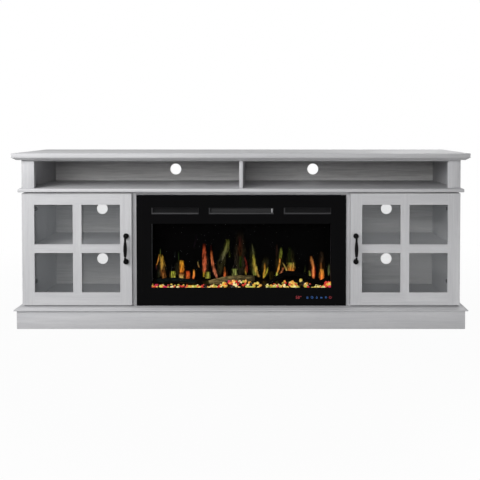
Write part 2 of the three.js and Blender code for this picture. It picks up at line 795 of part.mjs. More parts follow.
// The bed, the logs that lie in it and the screen behind them
function buildFire() {
  addPiece("ember_bed", emberBed(0, 0), "embers");
  const underside = emberBed(restGap, restGap);
  const logY = housingFrontY + logSetback;
  const centreY = housingFrontY + centreLogSetback;
  const peakRun = (rightLogPeak - rightLogStart) * peakRunShare;
  const logs = [
    ["left_log", leftLogRadius, [
      [-leftLogReach, logY + logDrift, windowZ + leftLogRise],
      [-(leftLogReach + leftLogEnd) / 2, logY, windowZ + leftLogRise + leftLogRadius / 2],
      [-leftLogEnd, logY - logDrift, windowZ + leftLogRise],
    ]],
    ["centre_log", centreLogRadius, [
      [-centreLogStart, centreY, windowZ + centreLogRise - centreLogRadius],
      [-(centreLogStart - centreLogEnd) / 2, centreY + logDrift / 2, windowZ + centreLogRise],
      [centreLogEnd, centreY - logDrift / 2, windowZ + centreLogRise + centreLogRadius / 2],
    ]],
    ["right_log", rightLogRadius, [
      [rightLogStart, logY, windowZ + rightLogStartRise],
      [rightLogPeak - peakRun, logY - logDrift / 2, windowZ + rightLogPeakRise - rightLogRadius],
      [rightLogPeak, logY - logDrift / 2, windowZ + rightLogPeakRise],
      [rightLogPeak + peakRun, logY, windowZ + rightLogPeakRise - rightLogRadius / 2],
      [rightLogDip, logY + logDrift / 2, windowZ + rightLogDipRise],
      [rightLogReach, logY + logDrift / 2, windowZ + rightLogEndRise],
    ]],
  ];
  for (const [name, radius, points] of logs) {
    const path = new THREE.CatmullRomCurve3(points.map((point) => new THREE.Vector3(...point)));
    const log = new THREE.ExtrudeGeometry(
      new THREE.Shape().absarc(0, 0, radius, 0, Math.PI * 2),
      { extrudePath: path, steps: circleSteps, curveSegments: smallCircleSteps },
    );
    addPiece(name, cut(solid(log), underside), "bark");
  }
  addPiece(
    "flame_screen",
    block(
      -innerHalf + restGap, innerHalf - restGap,
      screenY, screenY + screenThickness,
      lowerDeckZ, upperDeckZ - restGap,
    ),
    "screen",
  );
}

// Rotor: reflective blades on a long shaft behind the screen, which throw the moving flames
function buildRotor() {
  const shaftEnd = innerHalf - restGap;
  const pieces = [pinRod("x", rotorY, rotorZ, shaftRadius, -shaftEnd, shaftEnd)];
  const span = 2 * (innerHalf - rotorMotorLength - rotorBladeLength);
  for (let index = 0; index < rotorBladeCount; index++) {
    const blade = new THREE.BoxGeometry(rotorBladeLength, rotorBladeThickness, rotorRadius * 2);
    blade.rotateX(index * Math.PI / rotorBladeCount * 2);
    blade.translate(-span / 2 + span * index / (rotorBladeCount - 1), rotorY, rotorZ);
    pieces.push(solid(blade));
  }
  addPiece("flame_rotor", joined(...pieces), "nickel");
}

// Blower: a cage of blades between discs on one shaft, behind the middle vent
function buildBlower() {
  const shaftEnd = bracketOuter + bearingLength - restGap;
  const pieces = [pinRod("x", blowerY, blowerZ, shaftRadius, -shaftEnd, shaftEnd)];
  for (const discX of [-blowerHalf, -blowerDiscThickness / 2, blowerHalf - blowerDiscThickness]) {
    pieces.push(rod("x", blowerY, blowerZ, blowerRadius, discX, discX + blowerDiscThickness));
  }
  for (let index = 0; index < blowerBladeCount; index++) {
    const blade = new THREE.BoxGeometry(
      blowerLength - blowerDiscThickness, blowerBladeThickness, blowerBladeDepth);
    blade.translate(0, 0, blowerRadius - blowerBladeDepth / 2 - blowerBladeThickness);
    blade.rotateX(index * Math.PI * 2 / blowerBladeCount);
    blade.translate(0, blowerY, blowerZ);
    pieces.push(solid(blade));
  }
  addPiece("blower_wheel", joined(...pieces), "blackMetal");
}

// Heater: a finned core on three feet, between the blower and the middle vent
function buildHeater() {
  const half = heaterWidth / 2;
  const frontY = housingFrontY + heaterSetback;
  const coreY = frontY + (heaterDepth - heaterCoreDepth) / 2;
  const lowZ = ventZ + (ventHeight - heaterHeight) / 2;
  const pieces = [block(-half, half, coreY, coreY + heaterCoreDepth, lowZ, lowZ + heaterHeight)];
  const footRun = half - heaterFootWidth / 2;
  for (const footX of [-footRun, 0, footRun]) {
    pieces.push(block(
      footX - heaterFootWidth / 2, footX + heaterFootWidth / 2,
      frontY, frontY + heaterDepth,
      upperDeckTopZ, lowZ + heaterHeight,
    ));
  }
  for (let index = 1; index <= heaterFinCount; index++) {
    const x = -half + heaterWidth * index / (heaterFinCount + 1);
    pieces.push(block(
      x - heaterFinThickness / 2, x + heaterFinThickness / 2,
      frontY, frontY + heaterDepth,
      lowZ, lowZ + heaterHeight,
    ));
  }
  addPiece("heater_element", joined(...pieces), "nickel");
}

buildCase();
buildPlinth();
buildBacks();
buildShelves();
for (const [side, sideName] of [[-1, "left"], [1, "right"]]) {
  buildDoor(side, sideName);
  buildHandle(side, sideName);
  for (const [place, z] of hingeZs) {
    buildHinge(side, sideName, place, z);
  }
}
buildFrontGlass();
buildHousing();
buildFire();
buildRotor();
buildBlower();
buildHeater();

export default tvStand;
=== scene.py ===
import json
import math
import random

import bmesh
import bpy
from mathutils import Matrix, Vector, noise

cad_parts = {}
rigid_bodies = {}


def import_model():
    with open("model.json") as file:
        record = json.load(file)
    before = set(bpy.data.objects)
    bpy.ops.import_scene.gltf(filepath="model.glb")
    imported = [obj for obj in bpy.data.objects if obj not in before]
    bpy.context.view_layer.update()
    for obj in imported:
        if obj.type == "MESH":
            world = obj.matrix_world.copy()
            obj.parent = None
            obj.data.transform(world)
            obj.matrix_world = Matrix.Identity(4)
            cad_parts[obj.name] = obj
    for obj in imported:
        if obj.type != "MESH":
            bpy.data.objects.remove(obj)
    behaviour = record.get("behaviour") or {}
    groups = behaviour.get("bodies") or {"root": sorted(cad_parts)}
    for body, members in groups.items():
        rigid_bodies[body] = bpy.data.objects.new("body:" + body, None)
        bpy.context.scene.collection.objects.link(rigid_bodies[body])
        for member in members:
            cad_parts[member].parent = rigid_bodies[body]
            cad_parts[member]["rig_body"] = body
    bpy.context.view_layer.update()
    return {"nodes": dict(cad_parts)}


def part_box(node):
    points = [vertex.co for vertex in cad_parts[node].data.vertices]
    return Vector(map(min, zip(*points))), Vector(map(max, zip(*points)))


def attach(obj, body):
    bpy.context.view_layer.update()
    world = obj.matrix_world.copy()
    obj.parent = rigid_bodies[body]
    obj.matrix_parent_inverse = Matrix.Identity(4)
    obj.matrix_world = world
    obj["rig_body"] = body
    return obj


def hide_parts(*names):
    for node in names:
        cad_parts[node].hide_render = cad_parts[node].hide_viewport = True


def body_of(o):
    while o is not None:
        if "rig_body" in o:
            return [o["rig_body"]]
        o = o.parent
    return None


# Fireplace TV stand. Metres, X to the right, Y to the back, Z up, as the frame has it.
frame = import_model()

scene = bpy.context.scene
scene.view_settings.view_transform = "Standard"


def toLinear(hexColour):
    channels = [int(hexColour[i:i + 2], 16) / 255 for i in (0, 2, 4)]
    return tuple(c / 12.92 if c <= 0.04045 else ((c + 0.055) / 1.055) ** 2.4 for c in channels) + (1.0,)


# A node given as a value stands for its first output
def setInputs(tree, node, values):
    for socket, value in values.items():
        if isinstance(value, bpy.types.Node):
            value = value.outputs[0]
        if isinstance(value, bpy.types.NodeSocket):
            tree.links.new(value, node.inputs[socket])
        else:
            node.inputs[socket].default_value = value


def addNode(tree, kind, inputs=None, **settings):
    node = tree.nodes.new(kind)
    for name, value in settings.items():
        setattr(node, name, value)
    setInputs(tree, node, inputs or {})
    return node


# A new material with its tree and shader, and the Object coordinates that its patterns read
def startMaterial(name):
    material = bpy.data.materials.new(name)
    material.use_nodes = True
    tree = material.node_tree
    place = addNode(tree, "ShaderNodeTexCoord").outputs["Object"]
    return material, tree, tree.nodes["Principled BSDF"], place


meshing = {
    "weld": 0.00001,  # points nearer than this become one
    "flat": 1,  # faces that meet within this many degrees become one
    "sharp": 25,  # an edge over this many degrees gets an arris
    "smooth": 40,  # an edge up to this many degrees is shaded smooth
}


def copyOfNode(node):
    shape = bmesh.new()
    shape.from_mesh(frame["nodes"][node].data)
    bmesh.ops.remove_doubles(shape, verts=shape.verts, dist=meshing["weld"])
    bmesh.ops.dissolve_limit(
        shape, angle_limit=math.radians(meshing["flat"]), use_dissolve_boundaries=False,
        verts=shape.verts, edges=shape.edges)
    return shape


def bevelSharp(shape, width, steps=1, degrees=meshing["sharp"]):
    limit = math.radians(degrees)
    sharp = [e for e in shape.edges if len(e.link_faces) == 2 and e.calc_face_angle() > limit]
    bmesh.ops.bevel(
        shape, geom=sharp, offset=width, offset_type="OFFSET", segments=steps, profile=0.5,
        affect="EDGES", material=-1, clamp_overlap=True)


def smoothUpTo(shape, degrees=meshing["smooth"]):
    for face in shape.faces:
        face.smooth = True
    for edge in shape.edges:
        edge.smooth = len(edge.link_faces) == 2 and edge.calc_face_angle() <= math.radians(degrees)


def addPiece(name, shape, body, materials, replaced=()):
    mesh = bpy.data.meshes.new(name)
    shape.to_mesh(mesh)
    shape.free()
    for material in materials:
        mesh.materials.append(material)
    piece = bpy.data.objects.new(name, mesh)
    scene.collection.objects.link(piece)
    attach(piece, body)
    if replaced:
        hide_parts(*replaced)


def bodyOf(node):
    return body_of(frame["nodes"][node])[0]


def dressNode(node, material):
    frame["nodes"][node].material_slots[0].material = material


def addBox(shape, centre, size, turn=Matrix.Identity(4)):
    matrix = Matrix.Translation(centre) @ turn @ Matrix.Diagonal((*size, 1))
    bmesh.ops.create_cube(shape, size=1, matrix=matrix)


# Upright sheet that faces the front
def addSheet(shape, centre, width, height):
    upright = Matrix.Rotation(math.pi / 2, 4, "X")
    matrix = Matrix.Translation(centre) @ upright @ Matrix.Diagonal((width, height, 1, 1))
    bmesh.ops.create_grid(shape, x_segments=1, y_segments=1, size=0.5, matrix=matrix)


# Cuts every face that the plane crosses, and gives back what the cut made
def cutAt(shape, place, normal, **options):
    everything = shape.verts[:] + shape.edges[:] + shape.faces[:]
    return bmesh.ops.bisect_plane(
        shape, geom=everything, plane_co=place, plane_no=normal, **options)["geom_cut"]


# A bar of changing radius along a path: stations are (place, radius)
def sweep(shape, stations, sides):
    ring = bmesh.ops.create_circle(shape, cap_ends=True, segments=sides, radius=1)["verts"]
    edges = [e for e in shape.edges if e.verts[0] in ring and e.verts[1] in ring]
    before = Matrix.Identity(4)
    for index, (place, radius) in enumerate(stations):
        ahead = stations[min(index + 1, len(stations) - 1)][0]
        behind = stations[max(index - 1, 0)][0]
        turn = (ahead - behind).to_track_quat("Z", "Y").to_matrix().to_4x4()
        after = Matrix.Translation(place) @ turn @ Matrix.Scale(radius, 4)
        if index:
            grown = bmesh.ops.extrude_edge_only(shape, edges=edges)["geom"]
            ring = [g for g in grown if isinstance(g, bmesh.types.BMVert)]
            edges = [
                g for g in grown
                if isinstance(g, bmesh.types.BMEdge) and g.verts[0] in ring and g.verts[1] in ring]
        bmesh.ops.transform(shape, matrix=after @ before.inverted(), verts=ring)
        before = after
    bmesh.ops.edgeloop_fill(shape, edges=edges)


view = {
    "place": (0.1114, -2.6685, 0.8828),
    "pitch": 88.7,
    "lens": 43.36,
    "sensor": 36,
    "shift": (-0.0557, -0.2123),
}

lights = {
    # (name, place, aim, size, watts)
    "lamps": [
        ("key", (-1.9, -1.7, 1.7), (-0.8, -0.2, 0.4), (1.6, 1.2), 42),
        ("front", (-0.7, -3.5, 1.65), (-0.3, 0.0, 0.8), (2.4, 1.3), 51),
        ("top", (1.3, 0.9, 1.9), (0.6, 0.0, 0.76), (1.0, 1.0), 14),
        ("low", (1.02, -1.1, 0.16), (0.5, -0.2, 0.04), (0.8, 0.3), 2.3),
    ],
    "ambient": 0.07,
    "floorColour": "A9A9A9",
    "floorHalf": 30,
    "floorWhite": 0.965,  # share of the floor near the stand that shows plain white and hides its shadow
    "shadowReach": (1.1, 2.2),  # from here to there the floor's last share turns white as well
}


def buildCamera():
    camera = bpy.data.cameras.new("camera")
    camera.lens = view["lens"]
    camera.sensor_width = view["sensor"]
    camera.shift_x, camera.shift_y = view["shift"]
    holder = bpy.data.objects.new("camera", camera)
    holder.location = view["place"]
    holder.rotation_euler = (math.radians(view["pitch"]), 0, 0)
    scene.collection.objects.link(holder)
    scene.camera = holder


def buildLights():
    for name, place, aim, size, power in lights["lamps"]:
        lamp = bpy.data.lights.new(name, "AREA")
        lamp.shape = "RECTANGLE"
        lamp.size, lamp.size_y = size
        lamp.energy = power
        holder = bpy.data.objects.new(name, lamp)
        holder.location = place
        holder.rotation_euler = (Vector(aim) - Vector(place)).to_track_quat("-Z", "Y").to_euler()
        scene.collection.objects.link(holder)


# Share of rays that see the plain white backdrop: the camera's, mirrored and passed-through ones
def seenRays(tree):
    path = addNode(tree, "ShaderNodeLightPath")
    glossy = addNode(tree, "ShaderNodeMath", {
        0: path.outputs["Is Camera Ray"], 1: path.outputs["Is Glossy Ray"]}, operation="MAXIMUM")
    return addNode(tree, "ShaderNodeMath", {
        0: glossy, 1: path.outputs["Is Transmission Ray"]}, operation="MAXIMUM")


def buildBackdrop():
    world = bpy.data.worlds.new("backdrop")
    world.use_nodes = True
    tree = world.node_tree
    tree.nodes.clear()
    seen = addNode(tree, "ShaderNodeBackground", {"Color": (1, 1, 1, 1), "Strength": 1.0})
    lit = addNode(tree, "ShaderNodeBackground", {"Color": (1, 1, 1, 1), "Strength": lights["ambient"]})
    mixed = addNode(tree, "ShaderNodeMixShader", {0: seenRays(tree), 1: lit, 2: seen})
    addNode(tree, "ShaderNodeOutputWorld", {"Surface": mixed})
    scene.world = world

    material = bpy.data.materials.new("pale floor")
    material.use_nodes = True
    tree = material.node_tree
    tree.nodes.clear()
    plain = addNode(tree, "ShaderNodeBsdfDiffuse", {"Color": toLinear(lights["floorColour"])})
    white = addNode(tree, "ShaderNodeEmission", {"Color": (1, 1, 1, 1), "Strength": 1.0})
    place = addNode(tree, "ShaderNodeTexCoord").outputs["Object"]
    away = addNode(tree, "ShaderNodeVectorMath", {0: place}, operation="LENGTH")
    near, far = lights["shadowReach"]
    whiteness = addNode(tree, "ShaderNodeMapRange", {
        "Value": away.outputs["Value"], "From Min": near, "From Max": far,
        "To Min": lights["floorWhite"], "To Max": 1.0})
    share = addNode(tree, "ShaderNodeMath", {0: seenRays(tree), 1: whiteness}, operation="MULTIPLY")
    mixed = addNode(tree, "ShaderNodeMixShader", {0: share, 1: plain, 2: white})
    addNode(tree, "ShaderNodeOutputMaterial", {"Surface": mixed})
    floor = bmesh.new()
    bmesh.ops.create_grid(floor, x_segments=1, y_segments=1, size=lights["floorHalf"])
    mesh = bpy.data.meshes.new("floor")
    floor.to_mesh(mesh)
    floor.free()
    mesh.materials.append(material)
    holder = bpy.data.objects.new("floor", mesh)
    scene.collection.objects.link(holder)


buildCamera()
buildLights()
buildBackdrop()
print("camera, lights and floor are in place")


melamine = {
    "paleTone": "CBCBCD",
    "baseTone": "C4C4C6",
    "darkTone": "BCBCBF",
    "poreTone": "B5B5B9",
    "toneSpread": (0.34, 0.66),  # where the pattern is darkest and where it is palest
    # (width, length, detail, roughness, distortion) of the bands of early and late wood, of the streaks
    # in them and of the pores, which are drawn wider than real ones, since those are too fine to show
    "bands": (0.016, 0.34, 3.0, 0.55, 0.9),
    "streaks": (0.0045, 0.16, 4.0, 0.6, 0.3),
    "pores": (0.0016, 0.035, 2.0, 0.5, 0.0),
    "streakShare": 0.45,  # the bands have the rest
    "poreShare": 0.55,
    "roughness": 0.5,
    "glossSwing": (-0.05, 0.06),
    "bump": 0.12,
    "bumpDepth": 0.0002,
    "ior": 1.5,
    "specular": 0.35,
}

# The thin backs: the same grain printed on paper, flatter and more streaked, and paler as painted light that
# lifts the shade on the backs of the cubbies and cupboards
backPrintWithPaintedLight = {
    **melamine,
    "paleTone": "E6E5E4",
    "baseTone": "DAD9D8",
    "darkTone": "C4C3C2",
    "streaks": (0.009, 0.16, 4.0, 0.6, 0.3),
    "roughness": 0.65,
    "bump": 0.05,
}


def alongGrain(tree, grain, length, width, coordinates):
    scale = [1 / width] * 3
    scale[grain] = 1 / length
    return addNode(tree, "ShaderNodeMapping", {"Vector": coordinates, "Scale": scale})


# Wood-grain melamine board, press-laminated: a satin skin whose long pale streaks run with the board
def melamineBoard(name, grain, m):
    material, tree, shader, place = startMaterial(name)
    patterns = []
    for width, length, detail, roughness, distortion in (m["bands"], m["streaks"], m["pores"]):
        patterns.append(addNode(tree, "ShaderNodeTexNoise", {
            "Vector": alongGrain(tree, grain, length, width, place), "Scale": 1.0, "Detail": detail,
            "Roughness": roughness, "Distortion": distortion}))
    bands, streaks, pores = patterns
    both = addNode(tree, "ShaderNodeMix", {0: m["streakShare"], 2: bands, 3: streaks})
    tones = addNode(tree, "ShaderNodeValToRGB", {"Fac": both})
    ramp = tones.color_ramp.elements
    ramp[0].position, ramp[1].position = m["toneSpread"]
    ramp[0].color, ramp[1].color = toLinear(m["darkTone"]), toLinear(m["paleTone"])
    ramp.new(0.5).color = toLinear(m["baseTone"])
    poreMask = addNode(tree, "ShaderNodeMapRange", {
        "Value": pores, "From Min": 0.28, "From Max": 0.42, "To Min": m["poreShare"], "To Max": 0.0})
    colour = addNode(tree, "ShaderNodeMix", {
        0: poreMask, 6: tones, 7: toLinear(m["poreTone"])}, data_type="RGBA").outputs[2]
    bump = addNode(tree, "ShaderNodeBump", {
        "Height": pores, "Strength": m["bump"], "Distance": m["bumpDepth"]})
    less, more = m["glossSwing"]
    gloss = addNode(tree, "ShaderNodeMapRange", {
        "Value": streaks, "From Min": 0.3, "From Max": 0.7,
        "To Min": m["roughness"] + less, "To Max": m["roughness"] + more})
    setInputs(tree, shader, {
        "Base Color": colour, "Roughness": gloss, "Normal": bump,
        "IOR": m["ior"], "Specular IOR Level": m["specular"]})
    return material


coating = {
    "toneSpan": 40,  # the tone drifts over this many grains
    "glossSwing": 0.15,  # share of the roughness that comes and goes
    "bumpDepth": 0.0002,
}


# Any plain coated, plated or moulded surface: a fine orange peel in its shine and a slight drift of tone
def coatedSurface(name, colour, second, roughness, grain, bump, metallic=0.0, specular=0.5):
    material, tree, shader, place = startMaterial(name)
    fine = addNode(tree, "ShaderNodeTexNoise", {
        "Vector": place, "Scale": 1 / grain, "Detail": 3.0, "Roughness": 0.6})
    broad = addNode(tree, "ShaderNodeTexNoise", {
        "Vector": place, "Scale": 1 / (grain * coating["toneSpan"]), "Detail": 2.0, "Roughness": 0.5})
    tone = addNode(tree, "ShaderNodeMix", {
        0: broad, 6: toLinear(colour), 7: toLinear(second)}, data_type="RGBA").outputs[2]
    swing = coating["glossSwing"]
    gloss = addNode(tree, "ShaderNodeMapRange", {
        "Value": fine, "From Min": 0.3, "From Max": 0.7,
        "To Min": roughness * (1 - swing), "To Max": roughness * (1 + swing)})
    height = addNode(tree, "ShaderNodeBump", {
        "Height": fine, "Strength": bump, "Distance": coating["bumpDepth"]})
    setInputs(tree, shader, {
        "Base Color": tone, "Roughness": gloss, "Normal": height,
        "Metallic": metallic, "Specular IOR Level": specular})
    return material


laminate = [
    melamineBoard(f"wood-grain melamine, grain along {axis}", index, melamine)
    for index, axis in enumerate("XYZ")]
# The backs' paler print is partly painted light on their shaded faces
hardboard = melamineBoard("hardboard with a printed wood grain, paled as painted light", 0, backPrintWithPaintedLight)

# Sprayed and stoved: an even black with a soft, broad shine
blackEnamel = coatedSurface(
    "baked enamel, satin black", "030303", "050505", roughness=0.48, grain=0.0012, bump=0.06, specular=0.07)
# Electroplated: dark grey with a dull metal sheen
blackSteel = coatedSurface(
    "black-plated steel", "09090A", "101011", roughness=0.5, grain=0.0008, bump=0.06, metallic=0.3,
    specular=0.2)
# Plated over turned steel: warm and bright, almost a mirror
nickelPlate = coatedSurface(
    "bright nickel plate", "C4C3BE", "B2B1AC", roughness=0.24, grain=0.0008, bump=0.04, metallic=1.0)
# Sprayed as powder and baked: fine pebbles that scatter the light
housingSteel = coatedSurface(
    "powder-coated sheet steel, matt black", "151516", "1B1B1C", roughness=0.6, grain=0.001, bump=0.15)
# Cast and rubbed dull: next to no shine, so that only the flames show on it
screenAcrylic = coatedSurface(
    "flame screen, satin black acrylic", "020202", "030303", roughness=0.5, grain=0.002, bump=0.02,
    specular=0.01)
# Rolled and polished: bright flecks that throw the lamp's light about
rotorFoil = coatedSurface(
    "polished aluminium strip", "D2D2D2", "BEBEC0", roughness=0.18, grain=0.001, bump=0.05, metallic=1.0)
# Rolled, then dulled by heat: dark grey with a little metal left in it
heaterMetal = coatedSurface(
    "rolled aluminium fin, heat-darkened", "2C2C2E", "232325", roughness=0.6, grain=0.001, bump=0.05,
    metallic=0.5)
# Printed on glass and fired: smooth and deep black, with hardly a reflection
screenPrint = coatedSurface(
    "black-printed tempered glass", "0A0A0B", "0C0C0D", roughness=0.09, grain=0.002, bump=0.0,
    specular=0.02)
# Sprayed thin: near black, with dim light along the slats' edges
slatSteel = coatedSurface(
    "painted louvre steel, near black", "1C1C1D", "212122", roughness=0.6, grain=0.001, bump=0.08,
    specular=0.15)
# Pressed and sprayed dark grey, paler than the black round it as painted light: it stands for the light
# caught by the vents' lips and the window's left edge
frameSteelPaintedLight = coatedSurface(
    "pressed vent frame, dark grey with painted light", "232325", "28282A", roughness=0.5, grain=0.001, bump=0.08,
    specular=0.2)
# Plated with zinc: a pale, cold grey, which on the baffle's clip also stands as a painted glint
zincSteelAndPaintedGlint = coatedSurface(
    "zinc-plated steel, pale for a painted glint on the clip", "8A8A8C", "77777A", roughness=0.4, grain=0.0008, bump=0.05, metallic=0.5)


glazing = {
    "smear": 0.111,  # size of the wipe marks
    "roughness": (0.015, 0.05),
    "ior": 1.5,
}


# Clear tempered float glass: nearly colourless, faintly cool, with wipe marks only in its gloss. The share
# is how much of the light a pane stops.
def clearGlass(name, tint, share, specular):
    material, tree, shader, place = startMaterial(name)
    smears = addNode(tree, "ShaderNodeTexNoise", {
        "Vector": place, "Scale": 1 / glazing["smear"], "Detail": 3.0, "Roughness": 0.6})
    clean, smeared = glazing["roughness"]
    gloss = addNode(tree, "ShaderNodeMapRange", {
        "Value": smears, "From Min": 0.35, "From Max": 0.7, "To Min": clean, "To Max": smeared})
    setInputs(tree, shader, {
        "Base Color": toLinear(tint), "Alpha": share, "Roughness": gloss, "IOR": glazing["ior"],
        "Specular IOR Level": specular})
    return material


doorGlass = clearGlass("clear tempered glass, door", "84888C", share=0.155, specular=0.5)
windowGlass = clearGlass("clear tempered glass, firebox", "060606", share=0.05, specular=0.01)
print("materials are ready")


boards = {
    "arris": 0.0011,
    "arrisSteps": 2,
    "acrossGrain": 0.9,  # how squarely an end has to face X to be banded along Y
    "level": [
        "top_panel", "top_moulding", "top_front_rail", "mid_panel", "bottom_panel", "bay_top_rail",
        "plinth_front", "plinth_back", "left_shelf", "right_shelf"],
    "deep": ["plinth_left", "plinth_right"],
    "upright": [
        "left_pilaster", "right_pilaster", "left_upper_side", "right_upper_side", "left_lower_side",
        "right_lower_side", "left_partition", "right_partition", "centre_divider"],
}


def dressBoard(node, grain):
    shape = copyOfNode(node)
    bevelSharp(shape, boards["arris"], boards["arrisSteps"])
    shape.normal_update()
    for face in shape.faces:
        endOn = grain == 0 and abs(face.normal.x) > boards["acrossGrain"]
        face.material_index = 1 if endOn else grain
    smoothUpTo(shape)
    addPiece(f"{node}_board", shape, bodyOf(node), laminate, [node])


for grain, kind in enumerate(("level", "deep", "upright")):
    for node in boards[kind]:
        dressBoard(node, grain)


door = {
    "stiles": (0.0535, 0.05),  # the outer one, which carries the hinges, and the inner one
    "topRail": 0.0495,
    "bottomRail": 0.0558,
    "mullion": 0.038,
    "arris": 0.0016,
    "arrisSteps": 2,
}


# Door frame: its stiles and mullion show grain up and down, its rails across
def dressDoor(side):
    node = f"{side}_door_frame"
    low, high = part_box(node)
    shape = copyOfNode(node)
    lowStile, highStile = door["stiles"] if side == "left" else door["stiles"][::-1]
    paneLow, paneHigh = low.x + lowStile, high.x - highStile
    middle = (paneLow + paneHigh) / 2
    for x in (paneLow, paneHigh, middle - door["mullion"] / 2, middle + door["mullion"] / 2):
        cutAt(shape, (x, 0, 0), (1, 0, 0))
    bevelSharp(shape, door["arris"], door["arrisSteps"])
    shape.normal_update()
    for face in shape.faces:
        centre = face.calc_center_median()
        inStile = centre.x < paneLow or centre.x > paneHigh
        inRail = centre.z > high.z - door["topRail"] or centre.z < low.z + door["bottomRail"]
        inMullion = abs(centre.x - middle) < door["mullion"] / 2
        face.material_index = 2 if inStile or (inMullion and not inRail) else 0
    smoothUpTo(shape)
    addPiece(f"{side}_door_wood", shape, bodyOf(node), laminate, [node])


for side in ("left", "right"):
    dressDoor(side)
    dressNode(f"{side}_door_glass", doorGlass)
print("the case and the doors are dressed")


backs = {
    "sheetInset": 0.0004,  # the sheet lies this far inside its place, so that nail heads stay in the box
    "nailRadius": 0.0018,
    "nailCrown": 0.8,  # share of the radius that is left at the head's top
    "nailSides": 12,
    "nailProud": 0.0003,
    "nailMargin": 0.009,
    "nailSpacing": 0.12,
}


# Thin back, nailed on all round into the edges of the boards
def dressBack(node):
    b = backs
    low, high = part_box(node)
    shape = copyOfNode(node)
    outer = [v for v in shape.verts if v.co.y > high.y - b["sheetInset"]]
    bmesh.ops.translate(shape, verts=outer, vec=(0, -b["sheetInset"], 0))
    sheet = set(shape.faces)
    left, right = low.x + b["nailMargin"], high.x - b["nailMargin"]
    foot, head = low.z + b["nailMargin"], high.z - b["nailMargin"]
    columns = math.ceil((right - left) / b["nailSpacing"])
    rows = math.ceil((head - foot) / b["nailSpacing"])
    spots = [(left + (right - left) * i / columns, z) for i in range(columns + 1) for z in (foot, head)]
    spots += [(x, foot + (head - foot) * i / rows) for i in range(1, rows) for x in (left, right)]
    for x, z in spots:
        place = Matrix.Translation((x, high.y - b["sheetInset"] + b["nailProud"] / 2, z))
        bmesh.ops.create_cone(
            shape, cap_ends=True, segments=b["nailSides"], radius1=b["nailRadius"],
            radius2=b["nailRadius"] * b["nailCrown"], depth=b["nailProud"],
            matrix=place @ Matrix.Rotation(-math.pi / 2, 4, "X"))
    for face in shape.faces:
        face.material_index = 0 if face in sheet else 1
    addPiece(f"{node}_sheet", shape, "case", [hardboard, zincSteelAndPaintedGlint], [node])


for node in ("left_back_panel", "right_back_panel", "upper_back_panel"):
    dressBack(node)
print("the backs are nailed on")


pull = {
    "pitch": 0.1115,
    "footRadius": 0.0118,
    "footProud": 0.0075,
    "gripProud": 0.0234,
    "gripHalf": 0.035,
    "middleRadius": 0.0080,
    "endRadius": 0.0047,
    "gripSteps": 22,
    "bendSteps": 9,
    "sides": 24,
    "footRings": 14,
    "smooth": 50,
}


def buildPull(side):
    node = f"{side}_handle"
    low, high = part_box(node)
    x, faceY, z = (low.x + high.x) / 2, high.y, (low.z + high.z) / 2
    p = pull
    stations = []
    for end in (-1, 1):
        start = Vector((x, faceY - p["gripProud"], z + end * p["gripHalf"]))
        corner = Vector((x, faceY - p["gripProud"], z + end * p["pitch"] / 2))
        foot = Vector((x, faceY - p["footProud"] / 2, z + end * p["pitch"] / 2))
        bend = []
        for step in range(p["bendSteps"]):
            t = (step + 1) / p["bendSteps"]
            bend.append((start.lerp(corner, t).lerp(corner.lerp(foot, t), t), p["endRadius"]))
        if end < 0:
            stations += bend[::-1]
            for step in range(p["gripSteps"] + 1):
                along = step / p["gripSteps"] * 2 - 1
                swell = math.cos(along * math.pi / 2)
                radius = p["endRadius"] + (p["middleRadius"] - p["endRadius"]) * swell
                stations.append((Vector((x, faceY - p["gripProud"], z + along * p["gripHalf"])), radius))
        else:
            stations += bend
    shape = bmesh.new()
    sweep(shape, stations, p["sides"])
    for end in (-1, 1):
        place = Matrix.Translation((x, faceY - p["footProud"], z + end * p["pitch"] / 2))
        bmesh.ops.create_uvsphere(
            shape, u_segments=p["sides"], v_segments=p["footRings"], radius=p["footRadius"],
            matrix=place @ Matrix.Rotation(math.pi / 2, 4, "X"))
    cut = cutAt(shape, (0, faceY, 0), (0, 1, 0), clear_outer=True)
    bmesh.ops.holes_fill(shape, edges=[g for g in cut if isinstance(g, bmesh.types.BMEdge)])
    bmesh.ops.recalc_face_normals(shape, faces=shape.faces)
    smoothUpTo(shape, p["smooth"])
    addPiece(f"{side}_pull", shape, bodyOf(node), [blackEnamel], [node])


screw = {
    "sides": 16,
    "crown": 0.72,  # share of the head's radius that its top keeps
    "rim": 0.32,  # share of the radius round the driver's recess
    "recess": 0.6,  # share of the head's height that the recess takes
}


# Pan-head screw with a driver recess, pointing along one axis
def addScrew(shape, place, direction, radius, proud):
    direction = Vector(direction)
    turn = direction.to_track_quat("Z", "Y").to_matrix().to_4x4()
    before = set(shape.faces)
    bmesh.ops.create_cone(
        shape, cap_ends=True, segments=screw["sides"], radius1=radius, radius2=radius * screw["crown"],
        depth=proud, matrix=Matrix.Translation(Vector(place) + direction * proud / 2) @ turn)
    made = [f for f in shape.faces if f not in before]
    crown = max(made, key=lambda f: f.calc_center_median().dot(direction))
    bmesh.ops.inset_region(shape, faces=[crown], thickness=radius * screw["rim"])
    bmesh.ops.translate(shape, verts=crown.verts, vec=direction * -proud * screw["recess"])


hinge = {
    "arris": 0.0004,
    "sharp": 35,
    "screwRadius": 0.0034,
    "screwProud": 0.0014,
    "armScrewDrop": 0.018,  # from the hinge's middle up and down to the screws of its arm
    "cupScrewDrop": 0.0215,
    "armPlate": 0.003,
    "armScrewBack": 0.022,  # from the arm's back end
}


